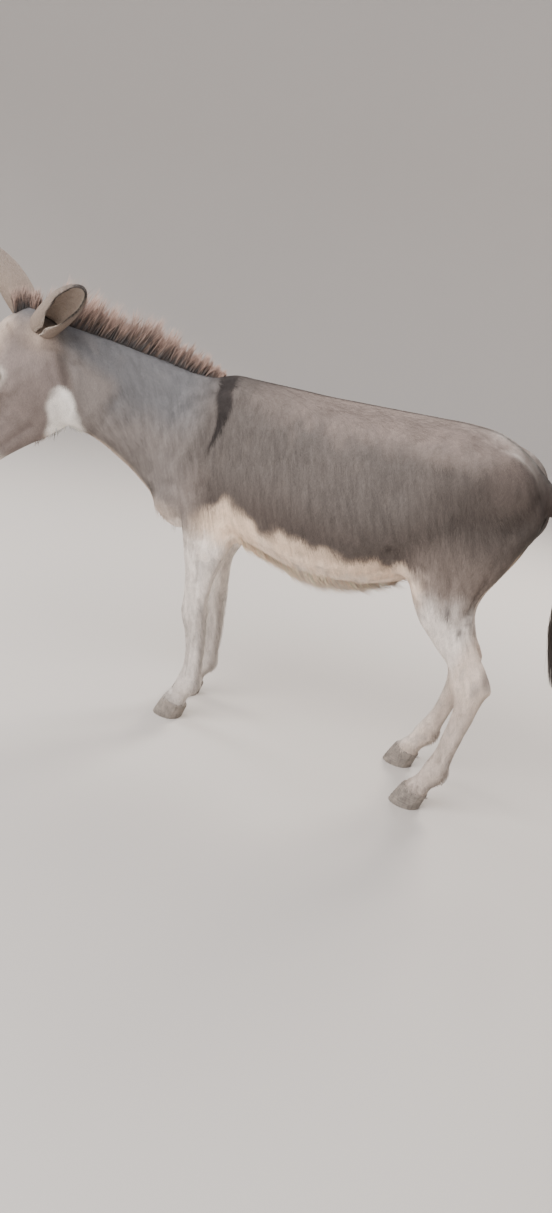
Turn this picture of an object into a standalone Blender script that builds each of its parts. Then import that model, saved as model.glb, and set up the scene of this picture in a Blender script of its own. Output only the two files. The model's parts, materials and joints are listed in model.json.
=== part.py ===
import math
from collections import namedtuple

import bmesh
import bpy
import numpy as np
from mathutils import Matrix, Vector

# A donkey standing at ease, life size, in metres. The nose points to -X and turns to its own
# left (-Y), and the floor is Z = 0. Outer sizes go out to the tips of the coat.
HEAD_LENGTH = 0.560
HEAD_YAW = math.radians(32)
HEAD_DROP = math.radians(65)
POLL = Vector((-1.022, -0.245, 1.152))
EAR_LENGTH = 0.262
EAR_HALF_WIDTH = 0.046
EAR_WALL = 0.006
EYE_RADIUS = 0.019
MANE_THICKNESS = 0.036
ELBOW_HEIGHT = 0.66
STIFLE_HEIGHT = 0.66
FORE_TRACK = 0.102
HIND_TRACK = 0.126
HOOF_LENGTH = 0.104
HOOF_WIDTH = 0.082

# Joining and parting
GAP = 0.0004
CLEARANCE = 0.0006
VOXEL = 0.0065
FINE_ROUNDS = 4
BROAD_ROUNDS = 22
RELAX = 0.25
MOUTH_GAP = 0.0022
MOUTH_DEPTH = 0.004
HEAD_CUT = (0.845, 0.497, 0.295)
BODY_FACES = 5240
DETAIL_BIAS = 0.6
HEAD_WEIGHT = 0.72
LEG_BIAS = 0.22
EAR_ROWS = 11
EAR_COLUMNS = 7
HOOF_SIDES = 14
STRAND_SIDES = 10
STRAND_STEPS = 2
RING_POINTS = 28
STEPS_BETWEEN = 5

SIDES = {"left": -1, "right": 1}
HEAD_SIDES = {"left": 1, "right": -1}

# One slice across a limb, from its upper or front line to its lower or rear line. Fullness
# above zero moves the widest part towards the first line, and below zero towards the second.
Section = namedtuple("Section", "upper lower half_width fullness", defaults=(0.0,))

# One level of a leg: centre, depth front to back, width, and height above the floor.
Joint = namedtuple("Joint", "x height depth width track fullness", defaults=(0.0,))


def clear_scene():
    for item in list(bpy.data.objects):
        bpy.data.objects.remove(item, do_unlink=True)


def material(name, colour, roughness):
    made = bpy.data.materials.new(name)
    made.use_nodes = True
    shader = made.node_tree.nodes["Principled BSDF"]
    shader.inputs["Base Color"].default_value = (*colour, 1.0)
    shader.inputs["Roughness"].default_value = roughness
    shader.inputs["Metallic"].default_value = 0.0
    made.diffuse_color = (*colour, 1.0)
    return made


def add_mesh(name, points, faces):
    mesh = bpy.data.meshes.new(name)
    mesh.from_pydata([tuple(point) for point in points], [], faces)
    item = bpy.data.objects.new(name, mesh)
    bpy.context.scene.collection.objects.link(item)
    face_out(mesh)
    return item


def face_out(mesh):
    shape = bmesh.new()
    shape.from_mesh(mesh)
    bmesh.ops.recalc_face_normals(shape, faces=shape.faces)
    shape.to_mesh(mesh)
    shape.free()


def bake(item):
    """Replaces the object's mesh with what its modifiers make of it."""
    graph = bpy.context.evaluated_depsgraph_get()
    made = bpy.data.meshes.new_from_object(item.evaluated_get(graph))
    item.modifiers.clear()
    item.data = made


def modify(item, kind, **settings):
    modifier = item.modifiers.new(kind.title(), kind)
    for setting, value in settings.items():
        setattr(modifier, setting, value)
    bake(item)


def boolean(item, other, operation):
    modify(item, "BOOLEAN", operation=operation, object=other, solver="EXACT")


def remove(item):
    bpy.data.objects.remove(item, do_unlink=True)


def joined(items):
    """One mesh holding every listed body, still separate shells."""
    shape = bmesh.new()
    for item in items:
        start = len(shape.verts)
        shape.from_mesh(item.data)
        shape.verts.ensure_lookup_table()
        bmesh.ops.transform(shape, matrix=item.matrix_world, verts=shape.verts[start:])
    first = items[0]
    first.matrix_world = Matrix()
    shape.to_mesh(first.data)
    shape.free()
    for item in items[1:]:
        remove(item)
    return first


def smooth_rows(rows, steps=STEPS_BETWEEN):
    """Rows of numbers on a Hermite curve through the given ones, spaced by their first six."""
    rows = np.asarray(rows, float)
    middle = (rows[:, 0:3] + rows[:, 3:6]) / 2
    along = np.concatenate([[0.0], np.cumsum(np.linalg.norm(np.diff(middle, axis=0), axis=1))])
    slope = np.gradient(rows, along, axis=0)
    made = []
    for i in range(len(rows) - 1):
        reach = along[i + 1] - along[i]
        for step in range(steps):
            t = step / steps
            made.append(
                (2 * t**3 - 3 * t**2 + 1) * rows[i]
                + (t**3 - 2 * t**2 + t) * reach * slope[i]
                + (3 * t**2 - 2 * t**3) * rows[i + 1]
                + (t**3 - t**2) * reach * slope[i + 1]
            )
    made.append(rows[-1])
    return np.array(made)


def loft(name, sections, squareness=2.2, ring=RING_POINTS, steps=STEPS_BETWEEN):
    """A closed body through the sections, each an egg-shaped ring between its two lines."""
    rows = smooth_rows([[*s.upper, *s.lower, s.half_width, s.fullness] for s in sections], steps)
    upper = rows[:, 0:3]
    lower = rows[:, 3:6]
    path = np.gradient((upper + lower) / 2, axis=0)
    across = np.cross(path, upper - lower)
    across /= np.linalg.norm(across, axis=1)[:, None]
    turn = np.linspace(0, 2 * np.pi, ring, endpoint=False)
    lift = np.sign(np.cos(turn)) * np.abs(np.cos(turn)) ** (2 / squareness)
    reach = np.sign(np.sin(turn)) * np.abs(np.sin(turn)) ** (2 / squareness)
    points = []
    for i, row in enumerate(rows):
        middle = (upper[i] + lower[i]) / 2
        half = (upper[i] - lower[i]) / 2
        for u, v in zip(lift, reach):
            points.append(middle + half * u + across[i] * row[6] * v * (1 + row[7] * u))
    return add_mesh(name, points, ring_faces(len(rows), ring))


def ring_faces(rings, count):
    faces = []
    for ring in range(rings - 1):
        start = ring * count
        for j in range(count):
            beside = (j + 1) % count
            faces.append((start + j, start + beside, start + count + beside, start + count + j))
    faces.append(tuple(range(count)))
    faces.append(tuple(range((rings - 1) * count, rings * count)))
    return faces


def mass(name, centre, radii, frame=None, lean=0.0, splay=0.0, detail=4):
    """An egg of muscle or bone: lean tips its top towards -X, and splay turns it about Z."""
    bpy.ops.mesh.primitive_ico_sphere_add(subdivisions=detail, radius=1.0)
    item = bpy.context.object
    item.name = name
    turn = Matrix.Rotation(math.radians(splay), 4, "Z") @ Matrix.Rotation(-math.radians(lean), 4, "Y")
    place = Matrix.Translation(Vector(centre)) @ turn @ Matrix.Diagonal((*radii, 1.0))
    item.matrix_world = (frame or Matrix()) @ place
    bpy.context.view_layer.update()
    item.data.transform(item.matrix_world)
    item.matrix_world = Matrix()
    return item


def grown(item, by):
    """A copy of a body, swollen by a little so that what is cut with it clears it."""
    copy = bpy.data.objects.new(item.name + " clearance", item.data.copy())
    bpy.context.scene.collection.objects.link(copy)
    modify(copy, "DISPLACE", strength=by, mid_level=0.0)
    return copy


def clear_of(item, others):
    """Trims a part so that it stands a hair off everything listed."""
    for other in others:
        cutter = grown(other, CLEARANCE)
        boolean(item, cutter, "DIFFERENCE")
        remove(cutter)
    keep_largest(item)


def loose_pieces(item):
    """Parts an object into its separate bodies."""
    bpy.ops.object.select_all(action="DESELECT")
    item.select_set(True)
    bpy.context.view_layer.objects.active = item
    bpy.ops.mesh.separate(type="LOOSE")
    return list(bpy.context.selected_objects)


def island(start):
    """Every vertex joined to this one by edges."""
    found = {start}
    waiting = [start]
    while waiting:
        for edge in waiting.pop().link_edges:
            for vertex in edge.verts:
                if vertex not in found:
                    found.add(vertex)
                    waiting.append(vertex)
    return found


def keep_largest(item):
    """Drops the offcuts that a trim leaves."""
    shape = bmesh.new()
    shape.from_mesh(item.data)
    left = set(shape.verts)
    islands = []
    while left:
        islands.append(island(next(iter(left))))
        left -= islands[-1]
    islands.sort(key=len)
    for offcut in islands[:-1]:
        bmesh.ops.delete(shape, geom=list(offcut), context="VERTS")
    shape.to_mesh(item.data)
    shape.free()


def slab(name, centre, normal, size, thickness=GAP):
    """A thin box used as a cutter, its thickness along the normal."""
    bpy.ops.mesh.primitive_cube_add(size=1.0)
    item = bpy.context.object
    item.name = name
    turn = Vector(normal).to_track_quat("Z", "Y").to_matrix().to_4x4()
    scale = Matrix.Diagonal((*size, thickness, 1.0))
    item.data.transform(Matrix.Translation(Vector(centre)) @ turn @ scale)
    return item


def trunk_sections():
    def at(x, top, bottom, half_width, fullness):
        return Section((x, 0, top), (x, 0, bottom), half_width, fullness)

    return {
        "breast": at(-0.615, 0.865, 0.715, 0.070, 0.0),
        "shoulder": at(-0.555, 0.985, 0.648, 0.112, -0.10),
        "withers": at(-0.455, 1.090, 0.604, 0.132, -0.30),
        "girth": at(-0.330, 1.098, 0.594, 0.160, -0.32),
        "ribs": at(-0.180, 1.095, 0.572, 0.204, -0.20),
        "barrel": at(-0.030, 1.097, 0.540, 0.238, -0.12),
        "belly": at(0.090, 1.101, 0.556, 0.240, -0.08),
        "flank": at(0.210, 1.104, 0.606, 0.216, 0.0),
        "hips": at(0.320, 1.109, 0.660, 0.192, 0.12),
        "croup": at(0.410, 1.098, 0.700, 0.172, 0.05),
        "rump": at(0.495, 1.056, 0.750, 0.134, -0.05),
        "tail head": at(0.575, 0.990, 0.830, 0.075, 0.0),
    }


def neck_sections():
    return {
        "under withers": Section((-0.360, 0.0, 1.080), (-0.480, 0.0, 0.640), 0.120, -0.30),
        "base": Section((-0.500, -0.004, 1.076), (-0.600, -0.010, 0.655), 0.122, -0.28),
        "low": Section((-0.625, -0.036, 1.098), (-0.706, -0.046, 0.734), 0.102, -0.22),
        "middle": Section((-0.752, -0.092, 1.124), (-0.790, -0.100, 0.796), 0.088, -0.16),
        "high": Section((-0.880, -0.162, 1.147), (-0.858, -0.150, 0.838), 0.081, -0.10),
        "throat": Section((-0.985, -0.226, 1.152), (-0.925, -0.190, 0.866), 0.076, -0.05),
        "inside head": Section((-1.055, -0.272, 1.100), (-1.005, -0.240, 0.920), 0.060, 0.0),
    }


def body_masses():
    """Muscles and bones that stand out from the plain lofts, on both sides."""
    made = []
    for side, y in SIDES.items():
        made += [
            mass("blade " + side, (-0.462, y * 0.080, 0.868), (0.098, 0.048, 0.178), lean=-24),
            mass("shoulder point " + side, (-0.508, y * 0.084, 0.735), (0.078, 0.056, 0.118), lean=-28),
            mass("triceps " + side, (-0.372, y * 0.112, 0.705), (0.112, 0.052, 0.110), lean=28),
            mass("pectoral " + side, (-0.522, y * 0.058, 0.672), (0.092, 0.056, 0.070), lean=-40),
            mass("hip point " + side, (0.262, y * 0.149, 0.998), (0.078, 0.040, 0.058), lean=10),
            mass("haunch " + side, (0.400, y * 0.098, 0.940), (0.162, 0.082, 0.130), lean=18),
            mass("buttock " + side, (0.520, y * 0.076, 0.900), (0.067, 0.055, 0.102), lean=10),
            mass("thigh " + side, (0.400, y * 0.118, 0.790), (0.138, 0.064, 0.140), lean=20),
            mass("flank fold " + side, (0.272, y * 0.146, 0.745), (0.062, 0.034, 0.092), lean=-20),
        ]
    return made


def head_frame():
    """X runs down the face from the poll, Y to the donkey's left, and Z out of the face."""
    ahead = Vector((-math.cos(HEAD_YAW), -math.sin(HEAD_YAW), 0))
    left = Vector((math.sin(HEAD_YAW), -math.cos(HEAD_YAW), 0))
    up = Vector((0, 0, 1))
    down_face = ahead * math.cos(HEAD_DROP) - up * math.sin(HEAD_DROP)
    out_of_face = ahead * math.sin(HEAD_DROP) + up * math.cos(HEAD_DROP)
    turn = Matrix((down_face, left, out_of_face)).transposed()
    return Matrix.Translation(POLL) @ turn.to_4x4()


def head_sections():
    frame = head_frame()

    def at(share, brow, jaw, half_width, fullness):
        down = share * HEAD_LENGTH
        return Section(
            frame @ Vector((down, 0, brow)), frame @ Vector((down, 0, jaw)), half_width, fullness
        )

    return {
        "nape": at(-0.075, 0.000, -0.190, 0.060, 0.10),
        "poll": at(0.00, 0.020, -0.262, 0.076, 0.10),
        "temple": at(0.09, 0.038, -0.296, 0.090, 0.14),
        "forehead": at(0.20, 0.042, -0.312, 0.100, 0.22),
        "eyes": at(0.33, 0.032, -0.297, 0.100, 0.32),
        "cheek": at(0.46, 0.014, -0.263, 0.080, 0.28),
        "nose": at(0.60, -0.006, -0.216, 0.061, 0.16),
        "bars": at(0.74, -0.022, -0.173, 0.051, 0.04),
        "nostrils": at(0.86, -0.032, -0.150, 0.054, 0.0),
        "lips": at(0.945, -0.042, -0.145, 0.053, -0.04),
        "muzzle end": at(0.990, -0.066, -0.128, 0.040, 0.0),
    }


def head_masses():
    frame = head_frame()
    made = [
        mass("upper lip", (0.520, 0, -0.078), (0.030, 0.040, 0.034), frame),
        mass("lower lip", (0.497, 0, -0.126), (0.030, 0.036, 0.020), frame, lean=10),
        mass("chin", (0.455, 0, -0.134), (0.034, 0.032, 0.022), frame),
    ]
    for side, y in HEAD_SIDES.items():
        made += [
            mass("jowl " + side, (0.125, y * 0.044, -0.165), (0.118, 0.042, 0.105), frame),
            mass("brow " + side, (0.172, y * 0.074, -0.010), (0.050, 0.022, 0.024), frame, 0, y * 12),
            mass("cheekbone " + side, (0.235, y * 0.070, -0.072), (0.085, 0.018, 0.016), frame, 0, y * -14),
            mass("nostril rim " + side, (0.482, y * 0.034, -0.066), (0.032, 0.021, 0.028), frame, -20),
            mass("ear root " + side, (0.020, y * 0.056, -0.026), (0.044, 0.034, 0.046), frame),
        ]
    return made


FORE_JOINTS = {
    "elbow": Joint(-0.372, ELBOW_HEIGHT, 0.204, 0.112, 0.112),
    "forearm": Joint(-0.366, 0.568, 0.148, 0.098, 0.124),
    "mid forearm": Joint(-0.370, 0.485, 0.098, 0.078, 0.122),
    "above knee": Joint(-0.372, 0.418, 0.078, 0.070, 0.118),
    "knee": Joint(-0.372, 0.362, 0.080, 0.076, 0.114),
    "below knee": Joint(-0.360, 0.305, 0.066, 0.058, 0.111),
    "cannon": Joint(-0.353, 0.238, 0.060, 0.048, 0.108),
    "above fetlock": Joint(-0.353, 0.172, 0.061, 0.049, 0.106),
    "fetlock": Joint(-0.358, 0.132, 0.077, 0.061, 0.104),
    "pastern": Joint(-0.380, 0.088, 0.062, 0.055, FORE_TRACK),
    "coronet": Joint(-0.399, 0.050, 0.078, 0.068, FORE_TRACK),
    "inside hoof": Joint(-0.410, 0.022, 0.070, 0.060, FORE_TRACK),
}
HIND_JOINTS = {
    "hip": Joint(0.412, 0.880, 0.318, 0.130, 0.098),
    "thigh": Joint(0.397, 0.795, 0.292, 0.144, 0.112),
    "lower thigh": Joint(0.381, 0.720, 0.248, 0.144, 0.120),
    "stifle": Joint(0.374, STIFLE_HEIGHT, 0.214, 0.126, 0.128),
    "gaskin top": Joint(0.391, 0.596, 0.172, 0.108, 0.130),
    "gaskin": Joint(0.428, 0.530, 0.122, 0.084, 0.129),
    "above hock": Joint(0.477, 0.465, 0.098, 0.064, 0.128),
    "hock": Joint(0.502, 0.410, 0.112, 0.074, 0.128),
    "below hock": Joint(0.509, 0.345, 0.074, 0.058, 0.128),
    "cannon": Joint(0.493, 0.245, 0.060, 0.050, 0.128),
    "above fetlock": Joint(0.479, 0.172, 0.061, 0.051, 0.128),
    "fetlock": Joint(0.469, 0.127, 0.077, 0.063, 0.127),
    "pastern": Joint(0.446, 0.086, 0.062, 0.056, HIND_TRACK),
    "coronet": Joint(0.425, 0.049, 0.078, 0.069, HIND_TRACK),
    "inside hoof": Joint(0.412, 0.022, 0.070, 0.060, HIND_TRACK),
}

# How far forward each foot stands of the joints above, falling to nothing at the body.
FORE_STEP = {"left": 0.0, "right": -0.044}
HIND_STEP = {"left": 0.0, "right": -0.097}


def stepped(joint, kind, side):
    """Moves one level of a leg forward with its foot."""
    if kind == "front":
        return FORE_STEP[side] * min(1.0, (ELBOW_HEIGHT - joint.height) / 0.15)
    return hind_step(side, joint.height)


def hind_step(side, height):
    """Most of the step is taken above the hock, and the rest in the cannon."""
    upper = rise(0.68 - height, 0.0, 0.24)
    lower = rise(0.24 - height, 0.0, 0.14)
    return HIND_STEP[side] * (0.82 * upper + 0.18 * lower)


def leg_sections(joints, kind, side):
    joints = list(joints.values())
    centres = [
        Vector((j.x + stepped(j, kind, side), SIDES[side] * j.track, j.height)) for j in joints
    ]
    made = []
    for i, joint in enumerate(joints):
        down = centres[min(i + 1, len(joints) - 1)] - centres[max(i - 1, 0)]
        ahead = down.cross(Vector((0, 1, 0))).normalized()
        if ahead.x > 0:
            ahead = -ahead
        half = ahead * joint.depth / 2
        made.append(Section(centres[i] + half, centres[i] - half, joint.width / 2, joint.fullness))
    return made


def hock_point(side):
    x = 0.538 + hind_step(side, 0.428)
    return mass("hock point " + side, (x, SIDES[side] * 0.129, 0.428), (0.023, 0.018, 0.046), lean=30)


def knee_cap(side):
    x = -0.386 + FORE_STEP[side]
    return mass("knee cap " + side, (x, SIDES[side] * 0.114, 0.366), (0.030, 0.032, 0.036))


def foot_centre(kind, side):
    if kind == "front":
        return Vector((-0.412 + FORE_STEP[side], SIDES[side] * FORE_TRACK, 0))
    return Vector((0.408 + HIND_STEP[side], SIDES[side] * HIND_TRACK, 0))


def coronet_plane(kind, side):
    """Where the hoof meets the leg: a point and the normal of the sloping cut."""
    return foot_centre(kind, side) + Vector((0.012, 0, 0.047)), Vector((0.28, 0, 1)).normalized()


def hoof(kind, side):
    """A horn shoe of plain growth, flat below and cut along the coronet above."""
    centre = foot_centre(kind, side)
    point, normal = coronet_plane(kind, side)
    slope = normal.x / normal.z
    levels = ((0.0, 1.0), (0.10, 0.985), (0.55, 0.90), (0.94, 0.83), (1.0, 0.80))
    points = []
    for height, share in levels:
        for step in range(HOOF_SIDES):
            turn = 2 * math.pi * step / HOOF_SIDES
            ahead = math.cos(turn)
            square_heel = 0.86 if ahead < -0.5 else 1.0
            x = centre.x + 0.021 * height - HOOF_LENGTH / 2 * share * ahead * square_heel
            y = centre.y + HOOF_WIDTH / 2 * share * math.sin(turn)
            top = point.z - GAP - (x - point.x) * slope
            points.append((x, y, height * top))
    return add_mesh("hoof_" + kind + "_" + side, points, ring_faces(len(levels), HOOF_SIDES))


def ear_axes(side):
    """Base, direction, opening and length of one ear: the left lies out and back, the right forward."""
    frame = head_frame()
    if side == "left":
        base = frame @ Vector((0.005, 0.0645, -0.070))
        along = Vector((0.750, -0.396, 0.530)).normalized()
        opening = Vector((0.117, -0.813, -0.571))
    else:
        base = frame @ Vector((0.002, -0.060, -0.020))
        along = Vector((-0.70, -0.05, 0.70)).normalized()
        opening = Vector((-0.75, 0.62, -0.25))
    opening = (opening - along * opening.dot(along)).normalized()
    return base, along, opening


def ear(side):
    """A leaf rolled into a cup, closed at its root."""
    base, along, opening = ear_axes(side)
    across = along.cross(opening)
    points = []
    for i in range(EAR_ROWS):
        share = i / (EAR_ROWS - 1)
        width = EAR_HALF_WIDTH * ear_outline(share)
        wrap = math.radians(172 - 71 * share**0.8)
        radius = width / max(math.sin(min(wrap, math.pi / 2)), 0.3)
        bend = 0.020 * math.sin(math.pi * share)
        middle = base + along * share * EAR_LENGTH
        for j in range(EAR_COLUMNS):
            turn = wrap * (2 * j / (EAR_COLUMNS - 1) - 1)
            back = radius * (0.35 * math.cos(wrap) - math.cos(turn)) - bend
            points.append(middle + opening * back + across * radius * math.sin(turn))
    item = add_mesh("ear_" + side, points, sheet_faces(EAR_ROWS, EAR_COLUMNS))
    modify(item, "SOLIDIFY", thickness=EAR_WALL, offset=0.0, use_even_offset=False)
    root = mass("root", base - along * 0.016 - opening * 0.014, (0.037, 0.037, 0.037), detail=2)
    boolean(item, root, "UNION")
    remove(root)
    return item


def sheet_faces(rows, columns):
    faces = []
    for i in range(rows - 1):
        for j in range(columns - 1):
            corner = i * columns + j
            faces.append((corner, corner + 1, corner + columns + 1, corner + columns))
    return faces


def ear_outline(share):
    """Half width of the leaf along its length, as a share of the widest."""
    swell = math.sin(math.pi * min(1.0, 0.30 + 0.70 * share) ** 1.05)
    return 0.10 + 0.90 * max(0.0, swell) ** 0.62 if share < 1 else 0.10


def eye(side):
    return mass("eye_" + side, eye_centre(side), (EYE_RADIUS,) * 3, detail=2)


def eye_centre(side):
    y = HEAD_SIDES[side]
    return head_frame() @ Vector((0.186, y * 0.0895, -0.032))


def mane_line():
    """Crest points from the withers to the poll, each with the height of the hair on it."""
    neck = [section.upper for section in neck_sections().values()][1:-1]
    crest = [(-0.462, 0.0, 1.078), *neck]
    heights = (0.020, 0.042, 0.096, 0.128, 0.130, 0.092)
    return [(Vector(point), height) for point, height in zip(crest, heights)]


def mane():
    sections = []
    for point, height in mane_line():
        root = point - Vector((0, 0, 0.020))
        tip = point + Vector((-0.012, 0, height))
        sections.append(Section(tip, root, MANE_THICKNESS / 2, -0.55))
    return loft("mane", sections, squareness=1.9, ring=STRAND_SIDES, steps=STRAND_STEPS)


def forelock():
    """The short upright tuft that the mane starts with, between the ears."""
    frame = head_frame()
    roots = ((0.012, 0.012, 0.042), (-0.004, 0.010, 0.076), (-0.022, -0.014, 0.084), (-0.034, -0.036, 0.080))
    sections = []
    for down, out, height in roots:
        root = frame @ Vector((down, 0, out))
        tip = root + Vector((-0.004, 0, height))
        sections.append(Section(tip, root - Vector((0, 0, 0.012)), 0.017, -0.4))
    return loft("forelock", sections, squareness=2.0, ring=8, steps=STRAND_STEPS)


def tail():
    """The dock: a tapering fleshy root hanging behind the rump."""
    path = (
        (0.535, 0.985, 0.030),
        (0.580, 0.958, 0.029),
        (0.614, 0.910, 0.026),
        (0.637, 0.845, 0.022),
        (0.655, 0.775, 0.019),
        (0.671, 0.700, 0.017),
    )
    return loft("tail", hanging_sections(path), ring=STRAND_SIDES, steps=STRAND_STEPS)


def tail_switch():
    path = (
        (0.671, 0.6990, 0.017),
        (0.682, 0.640, 0.026),
        (0.697, 0.560, 0.031),
        (0.709, 0.480, 0.024),
        (0.714, 0.430, 0.009),
    )
    return loft("tail_switch", hanging_sections(path), ring=STRAND_SIDES, steps=STRAND_STEPS)


def hanging_sections(path):
    made = []
    for i, (x, z, radius) in enumerate(path):
        ahead = path[min(i + 1, len(path) - 1)]
        behind = path[max(i - 1, 0)]
        down = Vector((ahead[0] - behind[0], 0, ahead[1] - behind[1])).normalized()
        out = Vector((-down.z, 0, down.x))
        centre = Vector((x, 0, z))
        made.append(Section(centre + out * radius, centre - out * radius, radius, 0.0))
    return made


def whole_body():
    """All the flesh as one skin, simplified with more detail kept on the head."""
    bodies = [
        loft("trunk", trunk_sections().values()),
        loft("neck", neck_sections().values()),
        loft("head", head_sections().values(), squareness=2.3),
    ]
    bodies += body_masses() + head_masses()
    for side in SIDES:
        bodies += [
            loft("foreleg " + side, leg_sections(FORE_JOINTS, "front", side)),
            loft("hindleg " + side, leg_sections(HIND_JOINTS, "hind", side)),
            knee_cap(side),
            hock_point(side),
        ]
    body = joined(bodies)
    modify(body, "REMESH", mode="VOXEL", voxel_size=VOXEL)
    settle(body)
    return body


def settle(body):
    """Softens the joins: broadly on trunk and neck, and without thinning on head and legs."""
    for _ in range(FINE_ROUNDS):
        modify(body, "SMOOTH", factor=0.5, iterations=1)
        modify(body, "SMOOTH", factor=-0.52, iterations=1)
    weigh(body, "broad", broad_weight)
    modify(body, "SMOOTH", factor=0.5, iterations=BROAD_ROUNDS, vertex_group="broad")
    body.vertex_groups.clear()


def broad_weight(point, on_head):
    return 0.12 if on_head else rise(point.z, 0.50, 0.72)


def plain_weight(point, on_head):
    return HEAD_WEIGHT if on_head else 1.0 - LEG_BIAS * rise(0.7 - point.z, 0.0, 0.2)


def rise(value, low, high):
    return min(1.0, max(0.0, (value - low) / (high - low)))


def weigh(body, name, weight):
    """Fills a vertex group from a function of the point and of whether it is on the head."""
    group = body.vertex_groups.new(name=name)
    inverse = head_frame().inverted()
    for vertex in body.data.vertices:
        place = inverse @ vertex.co
        on_head = place.x > 0.02 and abs(place.y) < 0.2 and place.z > -0.36
        group.add([vertex.index], weight(vertex.co, on_head), "REPLACE")


def simplify(body):
    """Fewer faces, with more of them left on the head and the legs."""
    weigh(body, "plain", plain_weight)
    share = BODY_FACES / (2 * len(body.data.polygons))
    fewer = {"ratio": share, "vertex_group": "plain", "vertex_group_factor": DETAIL_BIAS}
    modify(body, "DECIMATE", use_collapse_triangulate=True, **fewer)
    modify(body, "SMOOTH", factor=RELAX, iterations=1)


def carve_eye_and_nostril(body, side):
    y = HEAD_SIDES[side]
    socket = mass("socket", eye_centre(side), (EYE_RADIUS + GAP,) * 3, detail=2)
    nostril_place = (0.508, y * 0.038, -0.062)
    nostril = mass("nostril", nostril_place, (0.017, 0.014, 0.008), head_frame(), lean=-35, detail=2)
    for cutter in (socket, nostril):
        boolean(body, cutter, "DIFFERENCE")
        remove(cutter)


def carve_mouth(body):
    """The line where the closed lips meet, a shallow groove round the muzzle."""
    lips = slab("lips", (0, 0, 0), (0, 0, 1), (0.150, 0.200), MOUTH_GAP)
    tilt = Matrix.Rotation(-0.10, 4, "Y")
    lips.data.transform(head_frame() @ Matrix.Translation((0.525, 0, -0.112)) @ tilt)
    inside = grown(body, -MOUTH_DEPTH)
    boolean(lips, inside, "DIFFERENCE")
    boolean(body, lips, "DIFFERENCE")
    remove(inside)
    remove(lips)


def trim_feet(body):
    """Takes off everything under the coronets, where the hooves go."""
    for side in SIDES:
        for kind in ("front", "hind"):
            point, normal = coronet_plane(kind, side)
            below = slab("below", point - normal * 0.05, normal, (0.20, 0.14), 0.10)
            boolean(body, below, "DIFFERENCE")
            remove(below)


def parting_planes():
    """Name, centre, normal and size of each thin cut."""
    planes = [
        ("throat", (-0.920, -0.183, 0.998), HEAD_CUT, (0.70, 0.70)),
        ("withers", (-0.535, 0.0, 0.878), (1.0, 0.0, -0.335), (0.60, 0.70)),
    ]
    for side, y in SIDES.items():
        planes += [
            ("elbow " + side, (-0.375 + FORE_STEP[side], y * 0.125, 0.580), (0, 0, 1), (0.30, 0.22)),
            ("knee " + side, (-0.372 + FORE_STEP[side], y * 0.112, 0.350), (0.12, 0, 1), (0.18, 0.14)),
            ("stifle " + side, (0.400 + hind_step(side, 0.612), y * 0.130, 0.612), (0, 0, 1), (0.30, 0.24)),
            ("hock " + side, (0.507 + hind_step(side, 0.363), y * 0.128, 0.363), (0.05, 0, 1), (0.20, 0.16)),
        ]
    return planes


def part_body(body):
    """Cuts the whole into its named pieces."""
    cutters = joined([slab(*plane) for plane in parting_planes()])
    boolean(body, cutters, "DIFFERENCE")
    remove(cutters)
    pieces = loose_pieces(body)
    seeds = piece_seeds()
    for piece in pieces:
        centre = sum((v.co for v in piece.data.vertices), Vector()) / len(piece.data.vertices)
        name = min(seeds, key=lambda key: (Vector(seeds[key]) - centre).length)
        seeds.pop(name)
        piece.name = name
        piece.data.name = name
    return pieces


def piece_seeds():
    """Roughly the middle of each piece."""
    seeds = {"head": (-1.10, -0.30, 0.93), "neck": (-0.73, -0.09, 0.96), "trunk": (0.05, 0.0, 0.85)}
    for side, y in SIDES.items():
        seeds["leg_front_upper_" + side] = (-0.37 + FORE_STEP[side], y * 0.12, 0.46)
        seeds["leg_front_lower_" + side] = (-0.36 + FORE_STEP[side], y * 0.11, 0.20)
        seeds["leg_hind_upper_" + side] = (0.46 + hind_step(side, 0.49), y * 0.13, 0.49)
        seeds["leg_hind_lower_" + side] = (0.48 + hind_step(side, 0.21), y * 0.13, 0.21)
    return seeds


def finish(items, coat):
    for item in items:
        item.data.materials.clear()
        item.data.materials.append(coat)
        for face in item.data.polygons:
            face.use_smooth = True


def stand_at_origin(items):
    """Puts the floor under the soles at Z = 0, with the origin under the middle of the whole."""
    points = np.array([tuple(vertex.co) for item in items for vertex in item.data.vertices])
    low = points.min(axis=0)
    high = points.max(axis=0)
    shift = Vector((-(low[0] + high[0]) / 2, -(low[1] + high[1]) / 2, -low[2]))
    for item in items:
        item.data.transform(Matrix.Translation(shift))


def coat():
    return material("grey dun coat", (0.30, 0.27, 0.245), 0.85)


def ear_coat():
    return material("ear coat", (0.36, 0.32, 0.28), 0.85)


def horn():
    return material("hoof horn", (0.27, 0.24, 0.20), 0.55)


def wet_eye():
    return material("wet eye", (0.018, 0.013, 0.010), 0.08)


def mane_hair():
    return material("mane hair", (0.10, 0.07, 0.055), 0.75)


def tail_coat():
    return material("tail coat", (0.24, 0.215, 0.195), 0.85)


def tail_hair():
    return material("tail hair", (0.07, 0.055, 0.045), 0.75)


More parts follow.
